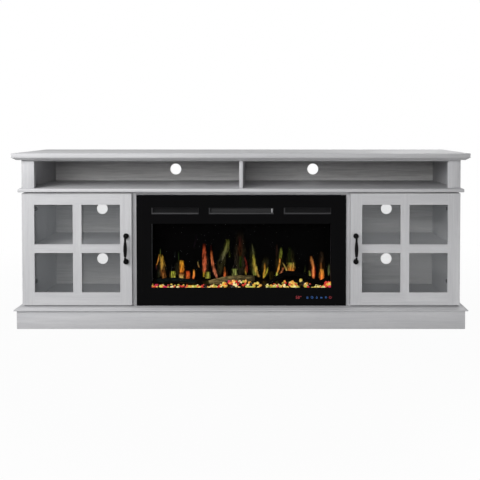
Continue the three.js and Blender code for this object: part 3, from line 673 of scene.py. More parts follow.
def dressHinge(side, level):
    h = hinge
    for part in ("cup", "link", "arm"):
        node = f"{side}_{level}_hinge_{part}"
        low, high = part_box(node)
        shape = copyOfNode(node)
        bevelSharp(shape, h["arris"], 1, h["sharp"])
        x, z = (low.x + high.x) / 2, (low.z + high.z) / 2
        inward, wall = (1, low.x) if side == "left" else (-1, high.x)
        for end in (-1, 1):
            if part == "cup":
                spot = (x, high.y, z + end * h["cupScrewDrop"])
                addScrew(shape, spot, (0, 1, 0), h["screwRadius"], h["screwProud"])
            elif part == "arm":
                spot = (
                    wall + inward * h["armPlate"], high.y - h["armScrewBack"], z + end * h["armScrewDrop"])
                addScrew(shape, spot, (inward, 0, 0), h["screwRadius"], h["screwProud"])
        smoothUpTo(shape)
        addPiece(f"{node}_steel", shape, bodyOf(node), [blackSteel], [node])


pin = {
    "sides": 20,
    "spigot": 0.0025,
    "collar": 0.0040,
    "collarThickness": 0.0012,
    "stud": 0.0030,
    "studLength": 0.008,
    "round": 0.0005,
    "smooth": 30,
}


# Shelf pin: a turned stud with a collar, made by spinning half its outline
def buildPin(node, side, place):
    low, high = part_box(node)
    inward = 1 if (side == "left") == (place == "outer") else -1
    wallEnd, freeEnd = (low.x, high.x) if inward > 0 else (high.x, low.x)
    y, z = (low.y + high.y) / 2, (low.z + high.z) / 2
    collarEnd = freeEnd - inward * pin["studLength"]
    collarStart = collarEnd - inward * pin["collarThickness"]
    outline = [
        (wallEnd, 0), (wallEnd, pin["spigot"]), (collarStart, pin["spigot"]), (collarStart, pin["collar"]),
        (collarEnd, pin["collar"]), (collarEnd, pin["stud"]), (freeEnd - inward * pin["round"], pin["stud"]),
        (freeEnd, pin["stud"] - pin["round"]), (freeEnd, 0)]
    shape = bmesh.new()
    verts = [shape.verts.new((x, y, z + r)) for x, r in outline]
    edges = [shape.edges.new(pair) for pair in zip(verts, verts[1:])]
    bmesh.ops.spin(
        shape, geom=verts + edges, cent=(0, y, z), axis=(1, 0, 0), angle=math.tau, steps=pin["sides"],
        use_merge=True)
    bmesh.ops.remove_doubles(shape, verts=shape.verts, dist=meshing["weld"])
    bmesh.ops.recalc_face_normals(shape, faces=shape.faces)
    smoothUpTo(shape, pin["smooth"])
    addPiece(f"{node}_turned", shape, bodyOf(node), [nickelPlate], [node])


for side in ("left", "right"):
    buildPull(side)
    for level in ("upper", "lower"):
        dressHinge(side, level)
    for place in ("outer", "inner"):
        for end in ("front", "back"):
            buildPin(f"{side}_shelf_pin_{place}_{end}", side, place)
print("pulls, hinges and shelf pins are made")


front = {
    "border": 0.065,
    "sill": 0.079,
    "head": 0.1245,
    "ventRise": 0.042,  # from the window's top to the vents
    "ventHeight": 0.0285,
    "centreVentHalf": 0.1415,
    "ventSpacing": 0.0441,
    "arris": 0.0003,
    "smooth": 30,
    "slatCount": 6,
    "slatPitch": 0.0057,
    "slatDepth": 0.009,
    "slatSetback": 0.0062,
    "slatThickness": 0.0008,
    "slatShorter": 0.002,  # than the frame that it lies behind
    "slatLean": 40,
    # The vent frame's paler grey is painted light: it stands for the light caught along each vent's lip
    "lip": 0.0058,  # pressed frame that slopes back from each vent's edge
    "lipShift": 0.0045,  # the frame is wider at its foot and left than at its head and right
    "lipSetback": 0.0005,
    "lipDepth": 0.0012,
    "sheet": 0.0008,
    "baffleHalf": 0.1305,
    "baffleHeight": 0.0205,
    "baffleDepth": 0.0045,
    "clipRound": 0.0014,
    "clipSteps": 3,
    "clipSmooth": 50,
    "clipWidth": 0.0075,
    "revealDepth": 0.019,
    "revealLift": 0.028,
    # The reveal's strip down the window's left side is a painted highlight: its paler grey stands for light
    # caught on the edge
    "revealHighlightStrip": 0.0036,  # folded edge that shows down the window's left side
}

glassLow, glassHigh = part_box("front_glass")
glassFront, glassBack = glassLow.y, glassHigh.y
windowHalf = glassHigh.x - front["border"]
windowLow, windowHigh = glassLow.z + front["sill"], glassHigh.z - front["head"]
ventLow = windowHigh + front["ventRise"]
ventHigh = ventLow + front["ventHeight"]
centreVent = (-front["centreVentHalf"], front["centreVentHalf"])
sideVent = (front["centreVentHalf"] + front["ventSpacing"], windowHalf)


def buildFrontGlass():
    shape = bmesh.new()
    centre = Vector((0, glassFront, (glassLow.z + glassHigh.z) / 2))
    addSheet(shape, centre, glassHigh.x - glassLow.x, glassHigh.z - glassLow.z)
    for x in (centreVent[1], *sideVent):
        for sign in (-1, 1):
            cutAt(shape, (sign * x, 0, 0), (1, 0, 0))
    for z in (windowLow, windowHigh, ventLow, ventHigh):
        cutAt(shape, (0, 0, z), (0, 0, 1))
    holes = []
    for face in shape.faces:
        centre = face.calc_center_median()
        inWindow = abs(centre.x) < windowHalf and windowLow < centre.z < windowHigh
        inVent = abs(centre.x) < centreVent[1] or sideVent[0] < abs(centre.x) < sideVent[1]
        if inWindow or (inVent and ventLow < centre.z < ventHigh):
            holes.append(face)
    bmesh.ops.delete(shape, geom=holes, context="FACES")
    grown = bmesh.ops.extrude_face_region(shape, geom=shape.faces[:])["geom"]
    back = [g for g in grown if isinstance(g, bmesh.types.BMVert)]
    bmesh.ops.translate(shape, verts=back, vec=(0, glassBack - glassFront, 0))
    bmesh.ops.recalc_face_normals(shape, faces=shape.faces)
    bmesh.ops.dissolve_limit(
        shape, angle_limit=math.radians(meshing["flat"]), verts=shape.verts, edges=shape.edges)
    bevelSharp(shape, front["arris"])
    smoothUpTo(shape, front["smooth"])
    addPiece("front_glass_border", shape, "case", [screenPrint], ["front_glass"])

    window = bmesh.new()
    addBox(
        window, (0, (glassFront + glassBack) / 2, (windowLow + windowHigh) / 2),
        (2 * windowHalf, glassBack - glassFront, windowHigh - windowLow))
    bevelSharp(window, front["arris"])
    addPiece("front_glass_window", window, "case", [windowGlass])


# Pressed frame that slopes back inside each vent, in a paler grey that is painted light on its lips: slanted
# louvres lie behind the side ones and a flat baffle, held by a clip at its right end, behind the middle one;
# the clip's pale tone is partly a painted glint
def buildVents():
    f = front
    spans = {"left": (-sideVent[1], -sideVent[0]), "centre": centreVent, "right": sideVent}
    lean = Matrix.Rotation(math.radians(f["slatLean"]), 4, "X")
    baffleY = glassBack + f["baffleDepth"] / 2
    middleZ = (ventLow + ventHigh) / 2
    for name, (start, end) in spans.items():
        shape = bmesh.new()
        middle = Vector(((start + end) / 2, glassFront + f["lipSetback"], middleZ))
        width, height = end - start - f["sheet"], ventHigh - ventLow - f["sheet"]
        addSheet(shape, middle, width, height)
        opening = shape.faces[:]
        bmesh.ops.inset_region(
            shape, faces=opening, thickness=f["lip"], use_even_offset=True, use_boundary=True)
        bmesh.ops.translate(shape, verts=opening[0].verts, vec=(0, f["lipDepth"], 0))
        head = [v for v in opening[0].verts if v.co.z > middle.z]
        right = [v for v in opening[0].verts if v.co.x > middle.x]
        # The frame is wider at its foot and left, so that its paler grey, painted light, shows as lit lines
        # along those two edges only
        bmesh.ops.translate(shape, verts=head, vec=(0, 0, f["lipShift"]))
        bmesh.ops.translate(shape, verts=right, vec=(f["lipShift"], 0, 0))
        bmesh.ops.delete(shape, geom=opening, context="FACES_ONLY")
        bmesh.ops.recalc_face_normals(shape, faces=shape.faces)
        bmesh.ops.solidify(shape, geom=shape.faces[:], thickness=f["sheet"])
        pressed = set(shape.faces)
        if name == "centre":
            addBox(shape, (0, baffleY, middleZ), (2 * f["baffleHalf"], f["baffleDepth"], f["baffleHeight"]))
        else:
            for index in range(f["slatCount"]):
                rise = (index - f["slatCount"] / 2) * f["slatPitch"]
                place = (middle.x, glassBack + f["slatSetback"], middleZ + rise)
                addBox(
                    shape, place, (width - f["slatShorter"], f["slatDepth"], f["slatThickness"]), lean)
        for face in shape.faces:
            face.material_index = 0 if face in pressed else 1
        addPiece(f"{name}_vent_louvre_with_painted_light", shape, "case", [frameSteelPaintedLight, slatSteel])

    # The clip's pale zinc tone is partly a painted glint at the baffle's right end
    clip = bmesh.new()
    place = (f["baffleHalf"] + f["clipWidth"] / 2, baffleY, middleZ)
    addBox(clip, place, (f["clipWidth"], f["baffleDepth"], f["baffleHeight"]))
    bevelSharp(clip, f["clipRound"], f["clipSteps"])
    smoothUpTo(clip, f["clipSmooth"])
    addPiece("vent_baffle_clip_painted_glint", clip, "case", [zincSteelAndPaintedGlint])


# Sheet reveal round the sides and the head of the window, behind its glass, with a paler strip down the
# window's left side that is a painted highlight on its edge
def buildReveal():
    sheet, depth, highlightStrip = front["sheet"], front["revealDepth"], front["revealHighlightStrip"]
    lowZ, highZ = windowLow + front["revealLift"], windowHigh + sheet
    y, z, height = glassBack + depth / 2, (lowZ + highZ) / 2, highZ - lowZ
    shape = bmesh.new()
    addBox(shape, (0, y, windowHigh + sheet / 2), (2 * windowHalf, depth, sheet))
    for sign in (-1, 1):
        addBox(shape, (sign * (windowHalf + sheet / 2), y, z), (sheet, depth, height))
    # Paler strip down the window's left side: a painted highlight on the window's edge
    addBox(shape, (highlightStrip / 2 - windowHalf, glassBack + sheet, z), (highlightStrip, sheet, height))
    addPiece("window_reveal_with_painted_highlight", shape, "case", [frameSteelPaintedLight])


fixings = {
    "screwRadius": 0.0042,
    "screwProud": 0.002,
    "inset": 0.016,
    "columns": 5,
    "gland": (0.38, 0.12),  # the cable gland's middle, across and up
    "glandProud": 0.010,  # beyond the back sheet
    "nutRadius": 0.0125,
    "nutThickness": 0.004,
    "nutSides": 6,
}


# Screws round the housing's back sheet, and the lock nut of its cable gland
def buildHousingFixings():
    f = fixings
    low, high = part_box("firebox_housing")
    sheetY = high.y - f["glandProud"]
    left, right = low.x + f["inset"], high.x - f["inset"]
    spots = [(x, (low.z + high.z) / 2) for x in (left, right)]
    for index in range(f["columns"]):
        x = left + (right - left) * index / (f["columns"] - 1)
        spots += [(x, z) for z in (low.z + f["inset"], high.z - f["inset"])]
    shape = bmesh.new()
    for x, z in spots:
        addScrew(shape, (x, sheetY, z), (0, 1, 0), f["screwRadius"], f["screwProud"])
    x, z = f["gland"]
    place = Matrix.Translation((x, sheetY + f["nutThickness"] / 2, z))
    bmesh.ops.create_cone(
        shape, cap_ends=True, segments=f["nutSides"], radius1=f["nutRadius"], radius2=f["nutRadius"],
        depth=f["nutThickness"], matrix=place @ Matrix.Rotation(-math.pi / 2, 4, "X"))
    smoothUpTo(shape)
    addPiece("housing_fixings", shape, "case", [blackSteel])


buildFrontGlass()
buildVents()
buildReveal()
buildHousingFixings()
dressNode("firebox_housing", housingSteel)
dressNode("flame_screen", screenAcrylic)
dressNode("flame_rotor", rotorFoil)
dressNode("heater_element", heaterMetal)
dressNode("blower_wheel", blackSteel)
print("the firebox front is made")


logs = {
    "sides": 22,
    "stepsPerLog": 40,
    "swelling": 3,  # a log reaches its middle radius at 1 / 3 of its length
    "knobsPerMetre": 38,
    "knobbly": 0.0034,
    "furrow": 0.0016,
    "furrowWidth": 0.006,
    "furrowLength": 0.05,
    "patch": 0.0455,  # size of the charred patches
    "smooth": 60,
}


# Smooth curve through the points, given as count + 1 places
def smoothPath(points, count):
    path = []
    for step in range(count + 1):
        spot = step / count * (len(points) - 1)
        i = min(int(spot), len(points) - 2)
        u = spot - i
        near = [points[max(i - 1, 0)], points[i], points[i + 1], points[min(i + 2, len(points) - 1)]]
        path.append(Vector([
            0.5 * (
                (2 * b) + (c - a) * u + (2 * a - 5 * b + 4 * c - d) * u * u
                + (3 * b - a - 3 * c + d) * u ** 3)
            for a, b, c, d in zip(*near)]))
    return path


# Charred resin log: furrowed bark along its length, darker where the fire took it; it also glows at its own
# colour, a painted glow that stands for the light the fire throws on it
def barkMaterial(name, pale, dark, glow, charFrom, charTo):
    material, tree, shader, place = startMaterial(name)
    furrows = addNode(tree, "ShaderNodeTexNoise", {
        "Vector": alongGrain(tree, 0, logs["furrowLength"], logs["furrowWidth"], place), "Scale": 1.0,
        "Detail": 5.0, "Roughness": 0.65, "Distortion": 0.8})
    patches = addNode(tree, "ShaderNodeTexNoise", {
        "Vector": place, "Scale": 1 / logs["patch"], "Detail": 3.0})
    tones = addNode(tree, "ShaderNodeValToRGB", {"Fac": furrows})
    ramp = tones.color_ramp.elements
    ramp[0].position, ramp[0].color = 0.4, toLinear(dark)
    ramp[1].position, ramp[1].color = 0.66, toLinear(pale)
    charred = addNode(tree, "ShaderNodeMapRange", {
        "Value": patches, "From Min": 0.42, "From Max": 0.6, "To Min": 0.0, "To Max": 0.7})
    split = addNode(tree, "ShaderNodeSeparateXYZ", {0: place})
    burnt = addNode(tree, "ShaderNodeMapRange", {
        "Value": split.outputs["X"], "From Min": charFrom, "From Max": charTo, "To Min": 0.0, "To Max": 1.0})
    share = addNode(tree, "ShaderNodeMath", {0: charred, 1: burnt}, operation="MAXIMUM")
    colour = addNode(tree, "ShaderNodeMix", {
        0: share, 6: tones, 7: toLinear(dark)}, data_type="RGBA").outputs[2]
    bump = addNode(tree, "ShaderNodeBump", {"Height": furrows, "Strength": 0.7, "Distance": 0.002})
    setInputs(tree, shader, {
        "Base Color": colour, "Roughness": 0.85, "Normal": bump, "Specular IOR Level": 0.03,
        "Emission Color": colour, "Emission Strength": glow})
    return material


# The fourth value is the strength of each log's painted glow, the firelight painted into its bark
barkDark = barkMaterial("cast resin bark, charred, with painted firelight", "162122", "050808", 0.3, -0.24, -0.19)
barkOlive = barkMaterial("cast resin bark, olive brown, with painted firelight", "86744A", "2A2416", 0.75, 0.0, 0.05)
barkBlack = barkMaterial("cast resin bark, coal black, with painted firelight", "0A0908", "030303", 0.1, 0.08, 0.2)

# Points of each log: across, deep and over the window's sill
logPlaces = {
    "left_log": {
        "points": [(-0.378, -0.1005, 0.016), (-0.289, -0.1105, 0.021), (-0.2, -0.1205, 0.016)],
        "radii": (0.0085, 0.0105, 0.007), "material": barkDark},
    "centre_log": {
        "points": [(-0.145, -0.1085, 0.008), (-0.045, -0.1035, 0.023), (0.055, -0.1135, 0.0305)],
        "radii": (0.010, 0.0155, 0.012), "material": barkOlive},
    "right_log": {
        "points": [
            (0.122, -0.1105, 0.006), (0.166, -0.1135, 0.037), (0.212, -0.1155, 0.053),
            (0.262, -0.1135, 0.047), (0.325, -0.1115, 0.014), (0.352, -0.1115, 0.013),
            (0.385, -0.1055, 0.029)],
        "radii": (0.0085, 0.0105, 0.0085), "material": barkBlack},
}


def buildLog(node, given):
    points = [Vector((x, y, windowLow + rise)) for x, y, rise in given["points"]]
    start, middle, end = given["radii"]
    stations = []
    for index, place in enumerate(smoothPath(points, logs["stepsPerLog"])):
        t = index / logs["stepsPerLog"]
        if t < 0.5:
            radius = start + (middle - start) * min(1, t * logs["swelling"])
        else:
            radius = middle + (end - middle) * (2 * t - 1)
        stations.append((place, radius))
    shape = bmesh.new()
    sweep(shape, stations, logs["sides"])
    bmesh.ops.recalc_face_normals(shape, faces=shape.faces)
    shape.normal_update()
    length, width = logs["furrowLength"], logs["furrowWidth"]
    for vert in shape.verts:
        spot = vert.co
        knob = noise.noise(spot * logs["knobsPerMetre"]) * logs["knobbly"]
        along = Vector((spot.x / length, spot.y / width, spot.z / width))
        vert.co += vert.normal * (knob + noise.noise(along) * logs["furrow"])
    smoothUpTo(shape, logs["smooth"])
    addPiece(f"{node}_bark", shape, "case", [given["material"]], [node])


for node, given in logPlaces.items():
    buildLog(node, given)


embers = {
    "seed": 11,
    "half": 0.406,
    "frontY": -0.1495,
    "backY": -0.113,
    "low": -0.006,
    "count": 290,
    "smallest": 0.0060,
    "largest": 0.0108,
    "ragged": 0.24,
    "squash": [(0.8, 1.3), (0.7, 1.0), (0.65, 1.0)],  # spans of each lump's width, depth and height
    "frontSlack": 0.0025,  # how far a lump's points may stand before the front row's middle
    "cloud": 0.00625,  # size of the paler and darker spots in a lump
    "glow": 0.8,
    # (share of the lumps, colour)
    "tones": [
        (0.24, "F0E0A0"), (0.23, "E0C860"), (0.12, "D89A40"), (0.08, "C84030"), (0.02, "C03050"),
        (0.15, "B4B44C"), (0.16, "0C0806")],
    "redTones": [(0.68, "C83A30"), (0.14, "C82A50"), (0.18, "E09838")],
    "redPlaces": [-0.38, -0.33, -0.25, -0.18, -0.065, -0.02, 0.20, 0.30, 0.385],
    "redReach": 0.013,
    "redShare": 0.7,
    # (place along the window, rise of the heap's top there)
    "heaps": [
        (-0.41, 0.008), (-0.20, 0.006), (-0.14, 0.007), (-0.09, 0.010), (-0.072, 0.029), (0.02, 0.031),
        (0.045, 0.014), (0.062, 0.022), (0.09, 0.008), (0.13, 0.008), (0.175, 0.009), (0.19, 0.022),
        (0.225, 0.027), (0.245, 0.015), (0.262, 0.030), (0.285, 0.016), (0.30, 0.008), (0.35, 0.005),
        (0.372, 0.024), (0.41, 0.024)],
    "heapCurve": 0.7,  # under 1, the heap rises steeply from the front row
    "gaps": [(-0.168, -0.152), (0.038, 0.052), (0.086, 0.106), (0.198, 0.210), (0.268, 0.280)],
    "gapTone": "0A0706",
    "gapFrom": 0.2,  # share of the bed's depth that stays lit before a gap
    "gapShrink": 0.7,
    "baseTone": "0A0604",
    "baseRim": 0.02,  # the tray's points from this far under the sill upwards are lowered
    "baseDrop": 0.008,
}


def heapTop(x):
    for (xa, za), (xb, zb) in zip(embers["heaps"], embers["heaps"][1:]):
        if x <= xb:
            return za + (zb - za) * max(x - xa, 0) / (xb - xa)
    return embers["heaps"][-1][1]


# Cast acrylic crystals lit from below: each lump glows in one colour, with paler and darker clouds in it
def emberMaterial():
    material, tree, shader, place = startMaterial("cast acrylic ember, lit from below")
    tone = addNode(tree, "ShaderNodeAttribute", attribute_name="emberTone", attribute_type="GEOMETRY")
    cloud = addNode(tree, "ShaderNodeTexNoise", {
        "Vector": place, "Scale": 1 / embers["cloud"], "Detail": 2.0})
    glow = addNode(tree, "ShaderNodeMapRange", {
        "Value": cloud, "From Min": 0.3, "From Max": 0.7, "To Min": 0.45, "To Max": embers["glow"]})
    lit = addNode(tree, "ShaderNodeMix", {
        0: 1.0, 6: tone, 7: glow}, data_type="RGBA", blend_type="MULTIPLY").outputs[2]
    setInputs(tree, shader, {
        "Base Color": tone, "Roughness": 0.25, "Emission Color": lit, "Emission Strength": 0.8})
    return material


def buildEmbers():
    e = embers
    dice = random.Random(e["seed"])
    shape = bmesh.new()
    layer = shape.verts.layers.float_color.new("emberTone")
    for _ in range(e["count"]):
        radius = dice.uniform(e["smallest"], e["largest"])
        reach = e["half"] - radius
        x = dice.uniform(-reach, reach)
        back = dice.random()
        near = min(abs(x - place) for place in e["redPlaces"]) < e["redReach"]
        tones = e["redTones"] if near and dice.random() < e["redShare"] else e["tones"]
        colour = toLinear(dice.choices([t[1] for t in tones], [t[0] for t in tones])[0])
        if any(low < x < high for low, high in e["gaps"]) and back > e["gapFrom"]:
            colour = toLinear(e["gapTone"])
            radius *= e["gapShrink"]
        y = e["frontY"] + (e["backY"] - e["frontY"]) * back
        rise = e["low"] + (heapTop(x) - radius - e["low"]) * back ** e["heapCurve"]
        turn = Matrix.Rotation(dice.uniform(0, math.tau), 4, (dice.uniform(-1, 1), dice.uniform(-1, 1), 1))
        squash = Matrix.Diagonal([dice.uniform(*span) for span in e["squash"]] + [1])
        centre = Vector((x, y, windowLow + rise))
        made = bmesh.ops.create_icosphere(
            shape, subdivisions=1, radius=radius, matrix=Matrix.Translation(centre) @ turn @ squash)
        for vert in made["verts"]:
            vert.co += (vert.co - centre) * dice.uniform(-e["ragged"], e["ragged"])
            vert.co.y = max(vert.co.y, e["frontY"] - e["frontSlack"])
            vert[layer] = colour
    base = copyOfNode("ember_bed")
    mesh = bpy.data.meshes.new("base")
    base.to_mesh(mesh)
    base.free()
    start = len(shape.verts)
    shape.from_mesh(mesh)
    bpy.data.meshes.remove(mesh)
    shape.verts.ensure_lookup_table()
    for vert in shape.verts[start:]:
        vert[layer] = toLinear(e["baseTone"])
        if vert.co.z > windowLow - e["baseRim"]:
            vert.co.z -= e["baseDrop"]
    addPiece("ember_crystals", shape, "case", [emberMaterial()], ["ember_bed"])


buildEmbers()


flames = {
    "front": -0.0845,  # of the dimmest tongues: the others lie up to the spread nearer the viewer
    "spread": 0.0035,
    "across": 6,
    "along": 18,
    # (width, height, shift of the pattern, roughness, distortion) of the licks that ragged a tongue's rims
    # and of the streaks of heat inside it
    "licks": (0.00769, 0.0238, (0.0, 0.0, 0.0), 0.65, 1.2),
    "streaks": (0.00667, 0.0417, (3.1, 0.0, 7.7), 0.6, 0.8),
    "wander": 0.75,  # how far the licks push a rim in and out
    "foot": 0.35,  # share of the width that a tongue starts with
    "opening": (0.25, 1.6),  # how far it has opened at the foot, and how fast it goes on
    "taper": 0.42,  # share of the width that it loses towards the tip
    "taperFrom": 0.4,
    "hazeWidth": 0.045,  # wider tongues are soft hazes
    "hazeGlow": 1.7,
    "bluntness": 1.2,  # how soon a short, wide tongue turns into a block with a flat top
    "blockFoot": 0.14,  # a block starts at this share of a tongue's fading
    "blockLoss": 0.34,  # and covers this much less of it
    "blueShare": 0.82,  # the light keeps this much of the blue in its hex value
    # (base x, base rise, tip x, tip rise, width, bow, low colour, high colour, strength), the dim ones behind
    "tongues": [
        (-0.36, 0.03, -0.365, 0.125, 0.06, 0, "221C12", "10100A", 1.0),
        (-0.29, 0.03, -0.285, 0.11, 0.05, 0, "1C1810", "10100A", 1.0),
        (-0.165, 0.03, -0.165, 0.15, 0.05, 0, "241812", "120A08", 1.0),
        (-0.1, 0.03, -0.08, 0.17, 0.055, 0, "221E12", "15160C", 1.0),
        (-0.008, 0.03, -0.009, 0.25, 0.075, 0, "26221A", "100C0A", 1.0),
        (0.056, 0.03, 0.045, 0.18, 0.05, 0, "262412", "12140C", 1.0),
        (0.105, 0.03, 0.108, 0.13, 0.05, 0, "2A2412", "12120C", 1.0),
        (0.165, 0.04, 0.168, 0.16, 0.05, 0, "261E10", "12120A", 1.0),
        (0.22, 0.06, 0.218, 0.16, 0.055, 0, "26200E", "10120A", 1.0),
        (0.318, 0.03, 0.312, 0.12, 0.045, 0, "26180C", "100A08", 1.0),
        (0.358, 0.03, 0.356, 0.14, 0.045, 0, "26180C", "140E0A", 1.0),
        (-0.385, 0.08, -0.372, 0.128, 0.011, 0.003, "B5702E", "C98A3C", 0.9),
        (-0.385, 0.06, -0.384, 0.084, 0.01, 0, "1E0826", "5A2A20", 0.6),
        (-0.377, 0.026, -0.377, 0.055, 0.02, 0, "3A3C2C", "2A2A24", 0.5),
        (-0.366, 0.128, -0.366, 0.16, 0.008, 0, "5A6A2A", "2A2A28", 0.6),
        (-0.357, 0.052, -0.366, 0.132, 0.03, 0.004, "A87840", "C8A040", 1.0),
        (-0.35, 0.02, -0.356, 0.062, 0.03, 0, "B87840", "5A2A14", 0.9),
        (-0.326, 0.026, -0.325, 0.058, 0.008, 0.002, "7A5A30", "3A2A1C", 0.7),
        (-0.316, 0.05, -0.315, 0.092, 0.005, 0, "33343A", "26262A", 0.6),
        (-0.309, 0.022, -0.309, 0.055, 0.028, 0, "D8D060", "A8B040", 0.95),
        (-0.303, 0.066, -0.302, 0.092, 0.005, 0, "33343A", "26262A", 0.6),
        (-0.3, 0.115, -0.3, 0.146, 0.012, 0, "2A2C30", "1E2022", 0.6),
        (-0.284, 0.1, -0.284, 0.146, 0.01, 0, "2A3A1C", "26301C", 0.6),
        (-0.271, 0.022, -0.271, 0.046, 0.03, 0, "F0C878", "8A3A20", 1.0),
        (-0.271, 0.048, -0.271, 0.104, 0.032, 0, "D8762A", "E0A030", 1.0),
        (-0.243, 0.021, -0.243, 0.056, 0.026, 0, "E87038", "C84A28", 0.95),
        (-0.219, 0.02, -0.217, 0.064, 0.015, 0.002, "F07840", "E8A040", 1.0),
        (-0.218, 0.156, -0.203, 0.224, 0.014, 0.002, "1C161E", "160F18", 0.7),
        (-0.192, 0.07, -0.198, 0.1, 0.009, -0.001, "C8905A", "7A7A50", 0.8),
        (-0.17, 0.028, -0.17, 0.056, 0.014, 0, "E0B838", "D8A030", 0.9),
        (-0.168, 0.045, -0.169, 0.18, 0.026, 0, "E07050", "9A3A20", 1.0),
        (-0.154, 0.022, -0.154, 0.052, 0.027, 0, "B4B050", "8A9040", 0.85),
        (-0.138, 0.14, -0.138, 0.178, 0.014, 0, "2A0808", "140404", 0.7),
        (-0.112, 0.02, -0.137, 0.15, 0.02, -0.006, "D88068", "C0602A", 1.0),
        (-0.098, 0.1, -0.063, 0.2, 0.034, 0.008, "5A564A", "6A6C2C", 0.85),
        (-0.077, 0.026, -0.078, 0.076, 0.016, 0, "D06038", "8A5020", 0.9),
        (-0.068, 0.026, -0.066, 0.058, 0.014, 0, "4A2814", "2A1810", 0.7),
        (-0.056, 0.115, -0.055, 0.15, 0.016, 0, "2C3010", "22260E", 0.7),
        (-0.041, 0.066, -0.02, 0.156, 0.013, 0.004, "343032", "30241C", 0.7),
        (-0.033, 0.034, -0.033, 0.066, 0.036, 0, "A4A668", "7A8448", 0.8),
        (-0.008, 0.12, -0.009, 0.214, 0.036, 0, "3A200F", "260E12", 0.8),
        (-0.007, 0.07, -0.007, 0.125, 0.022, 0, "24340E", "2A3A10", 0.7),
        (0.018, 0.038, 0.017, 0.076, 0.014, 0, "B8A040", "B84A30", 0.85),
        (0.022, 0.044, 0.007, 0.13, 0.015, 0.006, "7A2C20", "4A1018", 0.8),
        (0.055, 0.12, 0.044, 0.184, 0.014, 0, "5A5A38", "34342A", 0.7),
        (0.059, 0.036, 0.06, 0.078, 0.028, 0, "9A9E50", "7E8440", 0.85),
        (0.076, 0.028, 0.052, 0.132, 0.024, -0.008, "C89850", "9A9838", 1.0),
        (0.097, 0.022, 0.102, 0.094, 0.014, 0.002, "F0B84A", "A06828", 1.0),
        (0.1, 0.026, 0.117, 0.074, 0.013, 0.002, "E8D04A", "8A8A30", 0.95),
        (0.1185, 0.084, 0.119, 0.108, 0.012, 0, "3A3A38", "2A2A28", 0.6),
        (0.133, 0.018, 0.133, 0.056, 0.028, 0, "3A3014", "28220F", 0.7),
        (0.157, 0.118, 0.156, 0.184, 0.016, 0, "2A1A18", "1E1412", 0.6),
        (0.1575, 0.024, 0.158, 0.052, 0.016, 0, "C8CC60", "A8A84C", 0.9),
        (0.1585, 0.044, 0.172, 0.128, 0.012, 0.003, "E8A048", "D08A38", 1.0),
        (0.172, 0.112, 0.177, 0.164, 0.018, 0, "8C9038", "5A6430", 0.85),
        (0.174, 0.044, 0.186, 0.072, 0.02, 0, "C87858", "B0603C", 0.85),
        (0.201, 0.054, 0.182, 0.096, 0.012, 0.002, "D8B864", "8A7A48", 0.85),
        (0.213, 0.088, 0.213, 0.168, 0.024, 0, "262C14", "1C220F", 0.7),
        (0.221, 0.048, 0.221, 0.094, 0.042, 0, "E07838", "8A9040", 0.95),
        (0.228, 0.086, 0.226, 0.12, 0.01, 0, "4A4428", "343020", 0.7),
        (0.23, 0.07, 0.231, 0.098, 0.008, 0, "E0A858", "A08A50", 0.9),
        (0.283, 0.05, 0.283, 0.084, 0.014, 0, "33361E", "24281A", 0.7),
        (0.306, 0.034, 0.304, 0.058, 0.016, 0, "9A9448", "6A6A34", 0.8),
        (0.322, 0.022, 0.31, 0.124, 0.022, 0.003, "F08050", "E09050", 1.0),
        (0.328, 0.03, 0.327, 0.09, 0.01, 0, "8A1810", "4A0C0C", 0.8),
        (0.355, 0.058, 0.354, 0.1, 0.016, 0, "8A5028", "5A3A22", 0.8),
        (0.357, 0.094, 0.355, 0.146, 0.022, 0.004, "3A2A20", "2C221C", 0.7),
        (0.358, 0.016, 0.357, 0.066, 0.03, 0, "F0783C", "F0A040", 1.0),
        (0.389, 0.034, 0.39, 0.092, 0.014, 0, "5A6240", "3E4630", 0.8),
    ],
}


